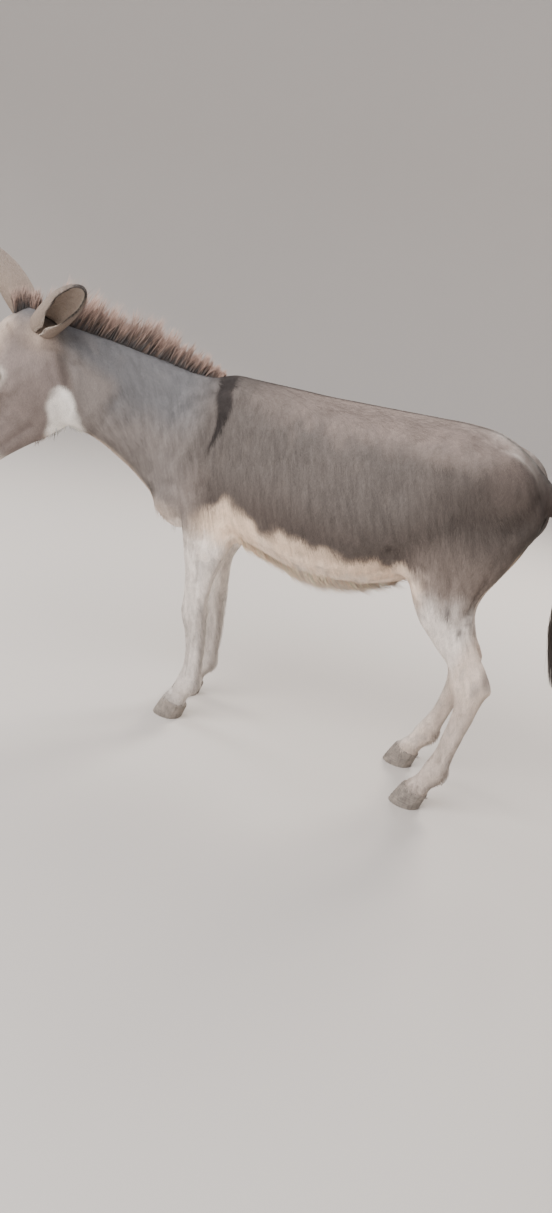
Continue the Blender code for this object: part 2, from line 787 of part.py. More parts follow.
def main():
    clear_scene()
    body = whole_body()
    simplify(body)
    body.name = "body"
    hooves = [hoof(kind, side) for side in SIDES for kind in ("front", "hind")]
    ears = [ear(side) for side in SIDES]
    eyes = [eye(side) for side in SIDES]
    hair = mane()
    tuft = forelock()
    dock = tail()
    switch = tail_switch()
    clear_of(tuft, [hair])
    for item in ears:
        clear_of(item, [hair, tuft, body])
    for item in (tuft, hair, dock):
        clear_of(item, [body])
    clear_of(switch, [dock])
    for side in SIDES:
        carve_eye_and_nostril(body, side)
    carve_mouth(body)
    trim_feet(body)
    flesh = part_body(body)
    stand_at_origin([*flesh, *hooves, *ears, *eyes, hair, tuft, dock, switch])
    finish(flesh, coat())
    finish(ears, ear_coat())
    finish(hooves, horn())
    finish(eyes, wet_eye())
    finish([hair, tuft], mane_hair())
    finish([dock], tail_coat())
    finish([switch], tail_hair())


main()
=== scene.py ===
import json
import math

import bmesh
import bpy
import numpy as np
from mathutils import Matrix, Vector
from mathutils.bvhtree import BVHTree


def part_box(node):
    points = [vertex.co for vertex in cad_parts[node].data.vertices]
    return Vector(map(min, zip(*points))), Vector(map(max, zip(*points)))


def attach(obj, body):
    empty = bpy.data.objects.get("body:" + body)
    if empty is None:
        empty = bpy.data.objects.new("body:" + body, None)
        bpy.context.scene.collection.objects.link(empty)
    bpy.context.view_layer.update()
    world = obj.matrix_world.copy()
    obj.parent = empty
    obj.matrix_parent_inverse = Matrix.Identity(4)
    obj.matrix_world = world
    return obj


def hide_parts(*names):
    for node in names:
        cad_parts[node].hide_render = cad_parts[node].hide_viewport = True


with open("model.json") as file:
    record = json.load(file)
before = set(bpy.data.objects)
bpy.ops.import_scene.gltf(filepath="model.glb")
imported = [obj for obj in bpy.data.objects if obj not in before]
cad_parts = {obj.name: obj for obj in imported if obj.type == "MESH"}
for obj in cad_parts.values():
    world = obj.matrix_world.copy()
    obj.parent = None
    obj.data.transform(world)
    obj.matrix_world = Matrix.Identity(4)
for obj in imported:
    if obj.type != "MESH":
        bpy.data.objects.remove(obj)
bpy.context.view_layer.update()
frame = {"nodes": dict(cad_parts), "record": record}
dice = np.random.default_rng(11)
sides = {"left": 1, "right": -1}  # across the head frame, left is +Y

# how the head is held, and where the eye sits in it
headPose = {"yaw": 32, "drop": 65, "eye": (0.186, 0.0895, -0.032), "poll": (-1.022, -0.245, 1.152)}


def headAxes():
    yaw = math.radians(headPose["yaw"])
    drop = math.radians(headPose["drop"])
    ahead = np.array([-math.cos(yaw), -math.sin(yaw), 0.0])
    left = np.array([math.sin(yaw), -math.cos(yaw), 0.0])
    up = np.array([0.0, 0.0, 1.0])
    down = ahead * math.cos(drop) - up * math.sin(drop)
    out = ahead * math.sin(drop) + up * math.cos(drop)
    return np.stack([down, left, out])  # rows: down the face, to its left, out of the face


headRows = headAxes()
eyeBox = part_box("eye_left")
eyeMiddle = np.array((eyeBox[0] + eyeBox[1]) / 2)
home = eyeMiddle - np.array(headPose["eye"]) @ headRows - np.array(headPose["poll"])


def at(point):  # from the floor under the girth, as all body places below are given
    return np.asarray(point, float) + home


def onHead(point):  # from the poll, along the head's own axes
    return np.asarray(point, float) @ headRows + np.array(headPose["poll"]) + home


def inHead(points):
    return (points - home - np.array(headPose["poll"])) @ headRows.T


def unit(vectors):
    return vectors / np.maximum(np.linalg.norm(vectors, axis=-1, keepdims=True), 1e-9)


def soft(value, low, high):
    t = np.clip((value - low) / (high - low), 0.0, 1.0)
    return t * t * (3 - 2 * t)


def flattened(ways, normals, share=1.0):  # takes out the part that runs along the normals
    return ways - normals * ((ways * normals).sum(axis=1, keepdims=True) * share)


def mirrored(point, side):  # places on the head are given for its left side
    return np.array(point) * (1, sides[side], 1)


def blob(points, centre, radii):
    return np.exp(-(((points - np.asarray(centre)) / np.asarray(radii)) ** 2).sum(axis=1))


def lineDistance(points, line):  # distance to a chain of straight runs, and the share along it
    line = np.asarray(line, float)
    best = np.full(len(points), 9.0)
    along = np.zeros(len(points))
    for i in range(len(line) - 1):
        run = line[i + 1] - line[i]
        t = np.clip(((points - line[i]) @ run) / (run @ run), 0.0, 1.0)
        far = np.linalg.norm(points - line[i] - t[:, None] * run, axis=1)
        nearer = far < best
        best[nearer] = far[nearer]
        along[nearer] = (i + t[nearer]) / (len(line) - 1)
    return best, along


def grain(points, size, seed=0):  # smooth noise from 0 to 1, one value for each point
    place = np.asarray(points, float) / np.asarray(size) + 500.0
    base = np.floor(place).astype(np.int64)
    t = place - base
    t = t * t * (3 - 2 * t)
    total = np.zeros(len(place))
    for corner in range(8):
        step = np.array([(corner >> axis) & 1 for axis in range(3)])
        key = base + step
        mixed = key[:, 0] * 374761393 + key[:, 1] * 668265263 + key[:, 2] * 2147483647 + seed * 974634777
        mixed = (mixed ^ (mixed >> 13)) * 1274126177
        value = ((mixed ^ (mixed >> 16)) & 65535) / 65535.0
        total += value * np.prod(np.where(step == 1, t, 1 - t), axis=1)
    return total


def addObject(name, mesh):
    piece = bpy.data.objects.new(name, mesh)
    bpy.context.scene.collection.objects.link(piece)
    return piece


def meshFrom(name, points, tris):
    mesh = bpy.data.meshes.new(name)
    mesh.vertices.add(len(points))
    mesh.vertices.foreach_set("co", np.asarray(points, np.float32).ravel())
    mesh.loops.add(len(tris) * 3)
    mesh.loops.foreach_set("vertex_index", np.asarray(tris, np.int32).ravel())
    mesh.polygons.add(len(tris))
    mesh.polygons.foreach_set("loop_start", np.arange(0, len(tris) * 3, 3, dtype=np.int32))
    mesh.polygons.foreach_set("use_smooth", np.ones(len(tris), bool))
    mesh.update(calc_edges=True)
    return mesh


def pointsOf(mesh):
    points = np.empty(len(mesh.vertices) * 3, np.float32)
    mesh.vertices.foreach_get("co", points)
    return points.reshape(-1, 3).astype(float)


def normalsOf(mesh):
    normals = np.empty(len(mesh.vertices) * 3, np.float32)
    mesh.vertex_normals.foreach_get("vector", normals)
    return normals.reshape(-1, 3).astype(float)


def edgesOf(mesh):
    edges = np.empty(len(mesh.edges) * 2, np.int32)
    mesh.edges.foreach_get("vertices", edges)
    return edges.reshape(-1, 2)


def setPoints(mesh, points):
    mesh.vertices.foreach_set("co", points.astype(np.float32).ravel())
    mesh.update()


def paint(mesh, name, colours):  # one colour for each point
    layer = mesh.color_attributes.new(name, "FLOAT_COLOR", "POINT")
    full = np.ones((len(colours), 4), np.float32)
    full[:, :3] = colours
    layer.data.foreach_set("color", full.ravel())


def setAttribute(mesh, name, kind, field, values):
    layer = mesh.attributes.new(name, kind, "POINT")
    layer.data.foreach_set(field, np.asarray(values, np.float32).ravel())


def ringFaces(rings, around, closed=True):  # a first point, rings of points and, when closed, a last point
    faces = [(0, 1 + k, 1 + (k + 1) % around) for k in range(around)]
    for ring in range(rings - 1):
        for k in range(around):
            a, b = 1 + ring * around + k, 1 + ring * around + (k + 1) % around
            faces += [(a, a + around, b), (b, a + around, b + around)]
    if closed:
        last = 1 + (rings - 1) * around
        faces += [(last + k, last + around, last + (k + 1) % around) for k in range(around)]
    return np.array(faces)


def bakeModifiers(piece):
    graph = bpy.context.evaluated_depsgraph_get()
    made = bpy.data.meshes.new_from_object(piece.evaluated_get(graph))
    piece.modifiers.clear()
    piece.data = made


def relaxed(points, edges, rounds, pull, push=0.0, weight=None):
    count = np.bincount(edges.ravel(), minlength=len(points))[:, None]
    one, two = edges[:, 0], edges[:, 1]
    share = np.ones(len(points)) if weight is None else weight
    for _ in range(rounds):
        for factor in (pull, push):
            if not factor:
                continue
            total = np.empty_like(points)
            for axis in range(3):
                column = points[:, axis]
                total[:, axis] = np.bincount(one, column[two], len(points))
                total[:, axis] += np.bincount(two, column[one], len(points))
            points = points + (total / count - points) * (factor * share)[:, None]
    return points


# the hide under the coat: one surface over every flesh part
hide = {
    "swell": 0.0007,  # closes the thin cuts
    "voxel": 0.0074,
    "evenRounds": 20,  # keeps volume
    "broadRounds": 26,  # trunk and neck only
    "coat": {"trunk": 0.0075, "neck": 0.007, "belly": 0.011, "head": 0.003, "muzzle": 0.0012, "legs": 0.0032},
}


def fleshNodes():
    slots = {part["node"]: part["material_slot"] for part in frame["record"]["subparts"]}
    return [name for name in sorted(slots) if slots[name] in ("coat", "tail_coat")]


def swollenCopy(shape, node, swell):
    source = node.data.copy()
    single = bmesh.new()
    single.from_mesh(source)
    bmesh.ops.remove_doubles(single, verts=single.verts, dist=1e-6)
    single.normal_update()
    for vertex in single.verts:
        vertex.co += vertex.normal * swell
    single.to_mesh(source)
    single.free()
    shape.from_mesh(source)
    bpy.data.meshes.remove(source)


def joinedFlesh():
    shape = bmesh.new()
    for name in fleshNodes() + ["eye_left", "eye_right"]:
        swollenCopy(shape, frame["nodes"][name], hide["swell"])
    mesh = bpy.data.meshes.new("hide")
    shape.to_mesh(mesh)
    shape.free()
    piece = addObject("hide", mesh)
    remesh = piece.modifiers.new("Remesh", "REMESH")
    remesh.mode = "VOXEL"
    remesh.voxel_size = hide["voxel"]
    bakeModifiers(piece)
    return piece


def regions(points):  # how far each point belongs to the head, the muzzle, the legs and the belly
    head = inHead(points)
    body = points - home
    onFace = soft(head[:, 0], -0.02, 0.05) * (1 - soft(-head[:, 2], 0.31, 0.36))
    onFace = onFace * (np.abs(head[:, 1]) < 0.16)
    muzzle = onFace * soft(head[:, 0], 0.36, 0.47)
    legs = (1 - soft(body[:, 2], 0.56, 0.72)) * (body[:, 0] > -0.62)
    belly = blob(body, (0.02, 0.0, 0.56), (0.34, 0.20, 0.10))
    return {"face": onFace, "muzzle": muzzle, "legs": legs, "belly": belly, "head": head, "body": body}


def coatDepth(points):
    part = regions(points)
    coat = hide["coat"]
    depth = np.full(len(points), coat["trunk"])
    depth += (coat["belly"] - depth) * np.clip(part["belly"] * 1.3, 0, 1)
    depth += (coat["legs"] - depth) * part["legs"] * (1 - part["belly"])
    depth += (coat["head"] - depth) * part["face"]
    depth += (coat["muzzle"] - depth) * part["muzzle"]
    return depth


# soft swells and hollows: a line on the left side, its width and its height, in metres
bodyForms = {
    "blade spine": ([(-0.415, 0.075, 1.03), (-0.47, 0.125, 0.90), (-0.53, 0.14, 0.77)], 0.020, 0.0045),
    "blade rear edge": ([(-0.36, 0.09, 1.03), (-0.37, 0.15, 0.86), (-0.35, 0.165, 0.74)], 0.018, -0.0030),
    "shoulder front": ([(-0.50, 0.085, 1.01), (-0.575, 0.11, 0.88), (-0.60, 0.11, 0.76)], 0.018, -0.0050),
    "arm groove": ([(-0.50, 0.150, 0.75), (-0.42, 0.170, 0.70), (-0.37, 0.165, 0.62)], 0.014, -0.0035),
    "elbow": ([(-0.320, 0.150, 0.665), (-0.312, 0.145, 0.625)], 0.018, 0.0045),
    "girth groove": ([(-0.30, 0.130, 0.66), (-0.295, 0.09, 0.61)], 0.022, -0.0050),
    "neck vein": ([(-0.88, 0.0, 0.90), (-0.76, 0.04, 0.84), (-0.64, 0.075, 0.77)], 0.015, -0.0045),
    "hip hollow": ([(0.185, 0.190, 0.985), (0.205, 0.205, 0.925)], 0.045, -0.0085),
    "hip to pin": ([(0.30, 0.165, 1.01), (0.42, 0.14, 0.98), (0.52, 0.09, 0.93)], 0.020, 0.0030),
    "ham groove": ([(0.505, 0.125, 0.90), (0.490, 0.155, 0.76), (0.465, 0.150, 0.62)], 0.012, -0.0048),
    "thigh groove": ([(0.38, 0.185, 0.86), (0.40, 0.195, 0.74), (0.385, 0.19, 0.66)], 0.016, -0.0028),
    "flank fold": ([(0.215, 0.195, 0.70), (0.27, 0.180, 0.665), (0.315, 0.165, 0.63)], 0.014, 0.0060),
    "under fold": ([(0.215, 0.200, 0.735), (0.27, 0.190, 0.70), (0.315, 0.18, 0.67)], 0.013, -0.0040),
    "hamstring": ([(0.488, 0.130, 0.58), (0.515, 0.130, 0.51), (0.536, 0.129, 0.45)], 0.009, 0.0030),
    "gaskin hollow": ([(0.462, 0.158, 0.56), (0.490, 0.150, 0.50), (0.508, 0.148, 0.455)], 0.009, -0.0038),
    "gaskin hollow in": ([(0.462, 0.102, 0.56), (0.490, 0.108, 0.50), (0.508, 0.110, 0.455)], 0.009, -0.0035),
}
ribs = {"first": -0.235, "last": 0.135, "step": 0.042, "width": 0.011, "height": 0.0011,
        "line": ((-0.02, 0.17, 0.99), (0.0, 0.22, 0.86), (0.035, 0.22, 0.74))}
shankForms = {  # the groove between cannon bone and tendon, on both faces of each leg
    "front": {"shank": ((-0.350, 0.290), (-0.347, 0.165)), "reach": 0.110, "half": 0.026},
    "hind": {"shank": ((0.505, 0.325), (0.478, 0.165)), "reach": 0.128, "half": 0.027},
}
tendonGroove = {"width": 0.0055, "height": -0.0030}
shankSwell = {"front": 0.0030, "hind": 0.0015}
elbowTuck = 0.026  # the far elbow lies close, behind the near one
stance = {"front": {"left": 0.0, "right": -0.044}, "hind": {"left": 0.0, "right": -0.097}}
thighFollows = 0.82  # share of the far hind foot's step that its thigh takes


def press(points, normals, line, width, height):
    low = np.min(line, axis=0) - width * 2.5
    high = np.max(line, axis=0) + width * 2.5
    near = np.all((points > low) & (points < high), axis=1)
    far, _ = lineDistance(points[near], line)
    points[near] += normals[near] * (height * np.exp(-((far / width) ** 2)))[:, None]


def shapeBody(mesh):
    points = pointsOf(mesh)
    normals = normalsOf(mesh)
    for line, width, height in bodyForms.values():
        for flip in (-1, 1):
            placed = np.array(line) * (1, flip, 1)
            if flip == 1 and placed[:, 2].max() < 0.60 and placed[:, 0].min() > 0.3:
                placed = placed + (stance["hind"]["right"] * thighFollows, 0, 0)
            press(points, normals, at(placed), width, height)
    x = ribs["first"]
    while x < ribs["last"]:
        for flip in (-1, 1):
            line = [(x + shift, flip * y, z) for shift, y, z in ribs["line"]]
            press(points, normals, at(line), ribs["width"], ribs["height"])
        x += ribs["step"]
    for end, form in shankForms.items():
        for side, flip in (("left", -1), ("right", 1)):
            for inner in (-1, 1):
                y = flip * (form["reach"] + inner * form["half"])
                line = [(x + stance[end][side], y, z) for x, z in form["shank"]]
                press(points, normals, at(line), tendonGroove["width"], tendonGroove["height"])
    body = points - home
    close = soft(body[:, 1], -0.01, 0.06) * soft(body[:, 0], -0.42, -0.33)
    close = close * (1 - soft(body[:, 0], -0.25, -0.20))
    close = close * soft(body[:, 2], 0.40, 0.50) * (1 - soft(body[:, 2], 0.63, 0.70))
    points[:, 0] -= elbowTuck * close
    shank = soft(body[:, 2], 0.07, 0.13) * (1 - soft(body[:, 2], 0.40, 0.52))
    swell = np.where(body[:, 0] < 0, shankSwell["front"], shankSwell["hind"])
    points += normals * (swell * shank)[:, None]
    setPoints(mesh, points)


def makeHide():
    piece = joinedFlesh()
    mesh = piece.data
    points = pointsOf(mesh)
    edges = edgesOf(mesh)
    part = regions(points)
    points = relaxed(points, edges, hide["evenRounds"], 0.5, -0.52)
    broad = soft(part["body"][:, 2], 0.60, 0.80) * (1 - part["face"])
    points = relaxed(points, edges, hide["broadRounds"], 0.5, 0.0, broad)
    setPoints(mesh, points)
    shapeBody(mesh)
    points = pointsOf(mesh)
    points -= normalsOf(mesh) * coatDepth(points)[:, None]
    setPoints(mesh, points)
    return piece


# the face, all in the head's own axes: left side given, right side mirrored
faceForms = {
    "cheekbone": ([(0.222, 0.094, -0.066), (0.285, 0.078, -0.078), (0.350, 0.062, -0.082)], 0.009, 0.0042),
    "cheek hollow": ([(0.225, 0.096, -0.092), (0.30, 0.074, -0.102), (0.38, 0.056, -0.10)], 0.014, -0.0040),
    "nose side": ([(0.270, 0.062, -0.030), (0.350, 0.052, -0.046), (0.425, 0.044, -0.058)], 0.014, -0.0045),
    "nose edge": ([(0.200, 0.050, 0.034), (0.300, 0.036, 0.010), (0.400, 0.029, -0.012)], 0.009, 0.0028),
    "hollow over eye": ([(0.128, 0.080, -0.002), (0.142, 0.084, -0.006)], 0.017, -0.0075),
    "ear root": ([(0.046, 0.078, -0.030), (0.030, 0.084, -0.080)], 0.022, 0.0085),
    "temple edge": ([(0.060, 0.060, 0.020), (0.110, 0.064, 0.024), (0.155, 0.076, 0.014)], 0.010, 0.0030),
    "brow": ([(0.158, 0.094, -0.002), (0.182, 0.098, 0.000), (0.208, 0.094, -0.008)], 0.010, 0.0032),
    "jaw edge": ([(0.050, 0.075, -0.215), (0.115, 0.066, -0.270), (0.200, 0.052, -0.285)], 0.017, 0.0050),
    "jaw rear": ([(0.028, 0.088, -0.130), (0.022, 0.085, -0.190), (0.040, 0.070, -0.235)], 0.013, -0.0070),
    "chewing muscle": ([(0.110, 0.098, -0.130), (0.135, 0.096, -0.180)], 0.050, 0.0050),
    "jaw bar": ([(0.270, 0.046, -0.235), (0.350, 0.038, -0.195), (0.420, 0.033, -0.165)], 0.011, 0.0030),
    "jaw hollow": ([(0.270, 0.066, -0.190), (0.350, 0.050, -0.160), (0.415, 0.045, -0.140)], 0.015, -0.0040),
    "lip corner": ([(0.448, 0.050, -0.122), (0.462, 0.048, -0.116)], 0.009, 0.0026),
    "upper lip": ([(0.480, 0.048, -0.094), (0.530, 0.034, -0.090), (0.552, 0.000, -0.092)], 0.010, 0.0030),
    "lower lip": ([(0.475, 0.044, -0.133), (0.515, 0.030, -0.136), (0.528, 0.000, -0.138)], 0.009, 0.0030),
    "lip crease": ([(0.462, 0.053, -0.098), (0.482, 0.054, -0.076)], 0.005, -0.0016),
    "chin front": ([(0.492, 0.024, -0.152), (0.496, 0.000, -0.156)], 0.010, -0.0022),
    "nose wrinkle one": ([(0.446, 0.044, -0.050), (0.456, 0.048, -0.078)], 0.0035, -0.0014),
    "nose wrinkle two": ([(0.432, 0.044, -0.050), (0.441, 0.049, -0.082)], 0.0035, -0.0010),
    "face vein": ([(0.300, 0.070, -0.100), (0.260, 0.080, -0.130), (0.215, 0.085, -0.190)], 0.0035, 0.0012),
}
nostril = {"place": (0.503, 0.038, -0.058), "long": 0.0165, "wide": 0.0068, "depth": 0.017, "rim": 0.0026,
           "bend": 0.55}
mouth = {"place": (0.525, -0.112), "tilt": 0.10, "corner": 0.448, "width": 0.0016, "depth": 0.0055,
         "wave": 0.0022}
eyeShape = {
    "radius": 0.0189,
    "outward": (0.10, 0.955, 0.20),
    "backCorner": 0.0165,  # half the opening, towards the ear and towards the nose
    "frontCorner": 0.0178,
    "upper": 0.0124,
    "lower": 0.0098,
    "tilt": 0.20,
    "lid": 0.0021,
    "crease": 0.0094,
    "sunk": 0.0045,  # how far the flesh lies behind the ball's surface
    "detail": (0.036, 0.030),
}
faceDetail = [  # where the hide gets smaller faces, and how far round
    (((0.17, 0, -0.05),), 0.150),
    (((0.47, 0, -0.10),), 0.110),
]
muzzleDetail = [
    (((0.505, -0.038, -0.07), (0.505, 0.038, -0.07), (0.47, -0.045, -0.115), (0.47, 0.045, -0.115)), 0.040),
    (((0.54, 0, -0.10), (0.515, 0.03, -0.115), (0.515, -0.03, -0.115)), 0.034),
]


def refine(mesh, middles, radius):  # halves the edges near these places
    shape = bmesh.new()
    shape.from_mesh(mesh)
    near = set()
    for middle in middles:
        centre = Vector(middle)
        for vertex in shape.verts:
            if (vertex.co - centre).length < radius:
                near.add(vertex)
    edges = [edge for edge in shape.edges if edge.verts[0] in near and edge.verts[1] in near]
    bmesh.ops.subdivide_edges(shape, edges=edges, cuts=1, use_grid_fill=True)
    bmesh.ops.triangulate(shape, faces=[face for face in shape.faces if len(face.verts) > 4])
    shape.to_mesh(mesh)
    shape.free()


def eyeAxes(side):  # rows: towards the nose, up over the eye, outward
    out = unit(mirrored(eyeShape["outward"], side)) @ headRows
    nose = np.array((math.cos(eyeShape["tilt"]), 0.0, -math.sin(eyeShape["tilt"]))) @ headRows
    nose = unit(nose - out * (nose @ out))
    up = np.cross(out, nose) * sides[side]
    return np.stack([nose, up, out])


def eyePlace(side):
    return onHead(mirrored(headPose["eye"], side))


def lidGap(across, up):  # below zero inside the opening, and the distance past the rim outside it
    half = np.where(across > 0, eyeShape["frontCorner"], eyeShape["backCorner"])
    tall = np.where(up > 0, eyeShape["upper"], eyeShape["lower"])
    reach = np.sqrt((across / half) ** 2 + (up / tall) ** 2)
    return (reach - 1) * np.minimum(half, tall + np.abs(across) * 0.35)


def openEye(points, side):
    centre = eyePlace(side)
    local = (points - centre) @ eyeAxes(side).T
    near = np.where((np.linalg.norm(local, axis=1) < 0.036) & (local[:, 2] > 0.001))[0]
    spot = local[near]
    radius = eyeShape["radius"]
    distance = np.linalg.norm(spot, axis=1)
    gap = lidGap(spot[:, 0], spot[:, 1])
    lid = eyeShape["lid"] * (0.45 + 0.55 * soft(gap, 0.0, 0.0022))
    crease = eyeShape["crease"] + 0.002 * (spot[:, 1] > 0)
    lid = lid - 0.0015 * np.exp(-(((gap - crease) / 0.0016) ** 2)) * (spot[:, 1] > -0.002)
    lid = lid - 0.0009 * np.exp(-(((gap - crease * 0.55) / 0.0013) ** 2))
    shell = radius + lid
    shell = shell - soft(gap, 0.010, 0.018) * 0.006
    target = np.where(gap < 0, radius - eyeShape["sunk"], np.maximum(distance, shell))
    hug = 1 - soft(gap, 0.006, 0.014)  # near the rim the lid lies on the ball
    target = np.where(gap < 0, target, target * (1 - hug) + np.minimum(target, shell) * hug)
    points[near] = centre + (spot * (target / distance)[:, None]) @ eyeAxes(side)


def openNostril(points, normals, side):
    flip = sides[side]
    place = onHead(mirrored(nostril["place"], side))
    nearest = np.argmin(np.linalg.norm(points - place, axis=1))
    middle = points[nearest].copy()
    out = unit(normals[np.linalg.norm(points - middle, axis=1) < 0.012].mean(axis=0))
    long = np.array((-0.86, 0.20 * flip, 0.42)) @ headRows
    long = unit(long - out * (long @ out))
    short = np.cross(out, long)
    near = np.where(np.linalg.norm(points - middle, axis=1) < 0.040)[0]
    local = points[near] - middle
    u = local @ long / nostril["long"]
    v = local @ short / nostril["wide"]
    v = v - nostril["bend"] * u * u  # like a comma
    v = v / (0.72 + 0.45 * soft(-u, -0.6, 0.9))
    reach = np.sqrt(u * u + v * v)
    inward = -out + 0.55 * unit(np.array((-1.0, -0.2 * flip, -0.1)) @ headRows)
    hollow = nostril["depth"] * np.clip(1 - reach**2, 0, 1) ** 0.45
    rim = nostril["rim"] * np.exp(-(((reach - 1.30) / 0.26) ** 2))
    points[near] += inward * hollow[:, None] + out * rim[:, None]


def mouthLevel(head):  # height over the line between the lips
    x0, z0 = mouth["place"]
    return (head[:, 0] - x0) * -math.sin(mouth["tilt"]) + (head[:, 2] - z0) * math.cos(mouth["tilt"])


def closeMouth(points, normals):
    head = inHead(points)
    level = mouthLevel(head) + mouth["wave"] * np.sin((head[:, 0] - 0.44) * 42.0)
    length = soft(head[:, 0], mouth["corner"] - 0.004, mouth["corner"] + 0.012)
    sink = mouth["depth"] * np.exp(-((level / mouth["width"]) ** 2)) * length
    sink += 0.0016 * np.exp(-((level / (mouth["width"] * 3.4)) ** 2)) * length
    points -= normals * sink[:, None]


def makeFace(piece):
    mesh = piece.data
    for places, radius in faceDetail:
        refine(mesh, [onHead(place) for place in places], radius)
    edges = edgesOf(mesh)
    points = pointsOf(mesh)
    setPoints(mesh, relaxed(points, edges, 6, 0.5, -0.52, regions(points)["face"]))
    for line, width, height in faceForms.values():
        for side in sides:
            points = pointsOf(mesh)
            press(points, normalsOf(mesh), onHead(mirrored(line, side)), width, height)
            setPoints(mesh, points)
    eyePlaces = [eyePlace(side) for side in sides]
    wider, closer = eyeShape["detail"]
    refine(mesh, eyePlaces, wider)
    for places, radius in muzzleDetail:
        refine(mesh, [onHead(place) for place in places], radius)
    refine(mesh, eyePlaces, closer)
    points = pointsOf(mesh)
    for side in sides:
        openEye(points, side)
    setPoints(mesh, points)
    points = pointsOf(mesh)
    normals = normalsOf(mesh)
    for side in sides:
        openNostril(points, normals, side)
    closeMouth(points, normals)
    setPoints(mesh, points)


def unwrapHide(piece):  # every lock of the coat later finds its place on this unwrap
    bpy.context.view_layer.objects.active = piece
    piece.select_set(True)
    piece.data.uv_layers.new(name="OFBake")
    bpy.ops.object.mode_set(mode="EDIT")
    bpy.ops.mesh.select_all(action="SELECT")
    bpy.ops.uv.smart_project(angle_limit=math.radians(66), island_margin=0.001)
    bpy.ops.object.mode_set(mode="OBJECT")
    piece.select_set(False)


def surfaceOf(mesh):  # triangles with their areas, normals and unwrap, ready for sampling
    mesh.calc_loop_triangles()
    count = len(mesh.loop_triangles)
    tris = np.empty(count * 3, np.int32)
    loops = np.empty(count * 3, np.int32)
    mesh.loop_triangles.foreach_get("vertices", tris)
    mesh.loop_triangles.foreach_get("loops", loops)
    uv = np.empty(len(mesh.loops) * 2, np.float32)
    mesh.uv_layers["OFBake"].data.foreach_get("uv", uv)
    points = pointsOf(mesh)
    corners = points[tris.reshape(-1, 3)]
    cross = np.cross(corners[:, 1] - corners[:, 0], corners[:, 2] - corners[:, 0])
    return {
        "corners": corners,
        "normals": normalsOf(mesh)[tris.reshape(-1, 3)],
        "uv": uv.reshape(-1, 2)[loops.reshape(-1, 3)],
        "area": np.linalg.norm(cross, axis=1) / 2,
        "middle": corners.mean(axis=1),
        "tree": BVHTree.FromPolygons(points.tolist(), tris.reshape(-1, 3).tolist()),
    }


def scatter(surface, share, spacing):  # evenly spread roots; share thins them, from 0 to 1
    weight = surface["area"] * share
    wanted = int(1.5 * weight.sum() / spacing**2)
    pick = np.searchsorted(np.cumsum(weight) / weight.sum(), dice.random(wanted))
    pick = np.clip(pick, 0, len(weight) - 1)
    a = np.sqrt(dice.random(wanted))
    b = dice.random(wanted)
    mix = np.stack([1 - a, a * (1 - b), a * b], axis=1)[:, :, None]
    roots = (surface["corners"][pick] * mix).sum(axis=1)
    cells = np.floor(roots / (spacing * 0.80)).astype(np.int64)
    _, first = np.unique(cells, axis=0, return_index=True)
    first = np.sort(first)
    normals = unit((surface["normals"][pick] * mix).sum(axis=1))
    uv = (surface["uv"][pick] * mix).sum(axis=1)
    return roots[first], normals[first], uv[first]


def drape(surface, roots, ways, length):  # how far the tips must bend to stay on the hide
    tips = roots + ways * length[:, None]
    nearest = surface["tree"].find_nearest
    return np.array([tuple(nearest(tip)[0]) for tip in tips.tolist()]) - tips


def lieOfCoat(points, normals):  # which way the hair runs
    part = regions(points)
    body = part["body"]
    zero = np.zeros(len(points))
    way = np.tile(np.array([0.34, 0.0, -0.94]), (len(points), 1))

    def turn(target, share):
        way[:] = way * (1 - share[:, None]) + np.asarray(target, float) * share[:, None]

    turn((0.97, 0.0, -0.22), soft(body[:, 2], 1.02, 1.085) * (body[:, 0] > -0.5))
    turn((0.62, 0.0, -0.78), soft(body[:, 0], 0.36, 0.50) * soft(body[:, 2], 0.62, 0.75))
    turn((0.62, 0.12, -0.75), soft(-body[:, 0], 0.50, 0.62))
    outward = np.stack([0.75 + zero, np.sign(body[:, 1]) * 0.25, -0.45 + zero], axis=1)
    under = (1 - soft(body[:, 2], 0.57, 0.66)) * (np.abs(body[:, 0]) < 0.36)
    turn(outward, under)
    turn((0.06, 0.0, -1.0), part["legs"] * (1 - under))
    face = part["head"]
    cheek = soft(-face[:, 2], 0.03, 0.16) * (1 - soft(face[:, 0], 0.30, 0.42))
    faceWay = np.stack([1.0 - 0.35 * cheek, face[:, 1] * 1.6, -0.9 * cheek], axis=1) @ headRows
    turn(faceWay, part["face"])
    turn((0.22, 0.0, -1.0), soft(body[:, 0], 0.585, 0.60))
    swirl = grain(body, (0.09, 0.09, 0.12), 3) - 0.5
    way = way + np.cross(normals, way) * (swirl * 0.22)[:, None]
    return unit(flattened(way, normals))


def shapeFrom(plan, **sizes):  # a lock's settings, with what changes from root to root
    keys = ("width", "lift", "rings", "curl", "sink", "thick", "follow")
    return {**{key: plan[key] for key in keys if key in plan}, **sizes}


def lockFaces(rings, count):  # three sides and a point, for every lock
    faces = [(0, 1, 2)]
    for ring in range(rings - 1):
        for k in range(3):
            a, b = ring * 3 + k, ring * 3 + (k + 1) % 3
            faces += [(a, a + 3, b), (b, a + 3, b + 3)]
    last = (rings - 1) * 3
    faces += [(last + k, rings * 3, last + (k + 1) % 3) for k in range(3)]
    first = np.arange(count) * (rings * 3 + 1)
    return (np.array(faces)[None] + first[:, None, None]).reshape(-1, 3)


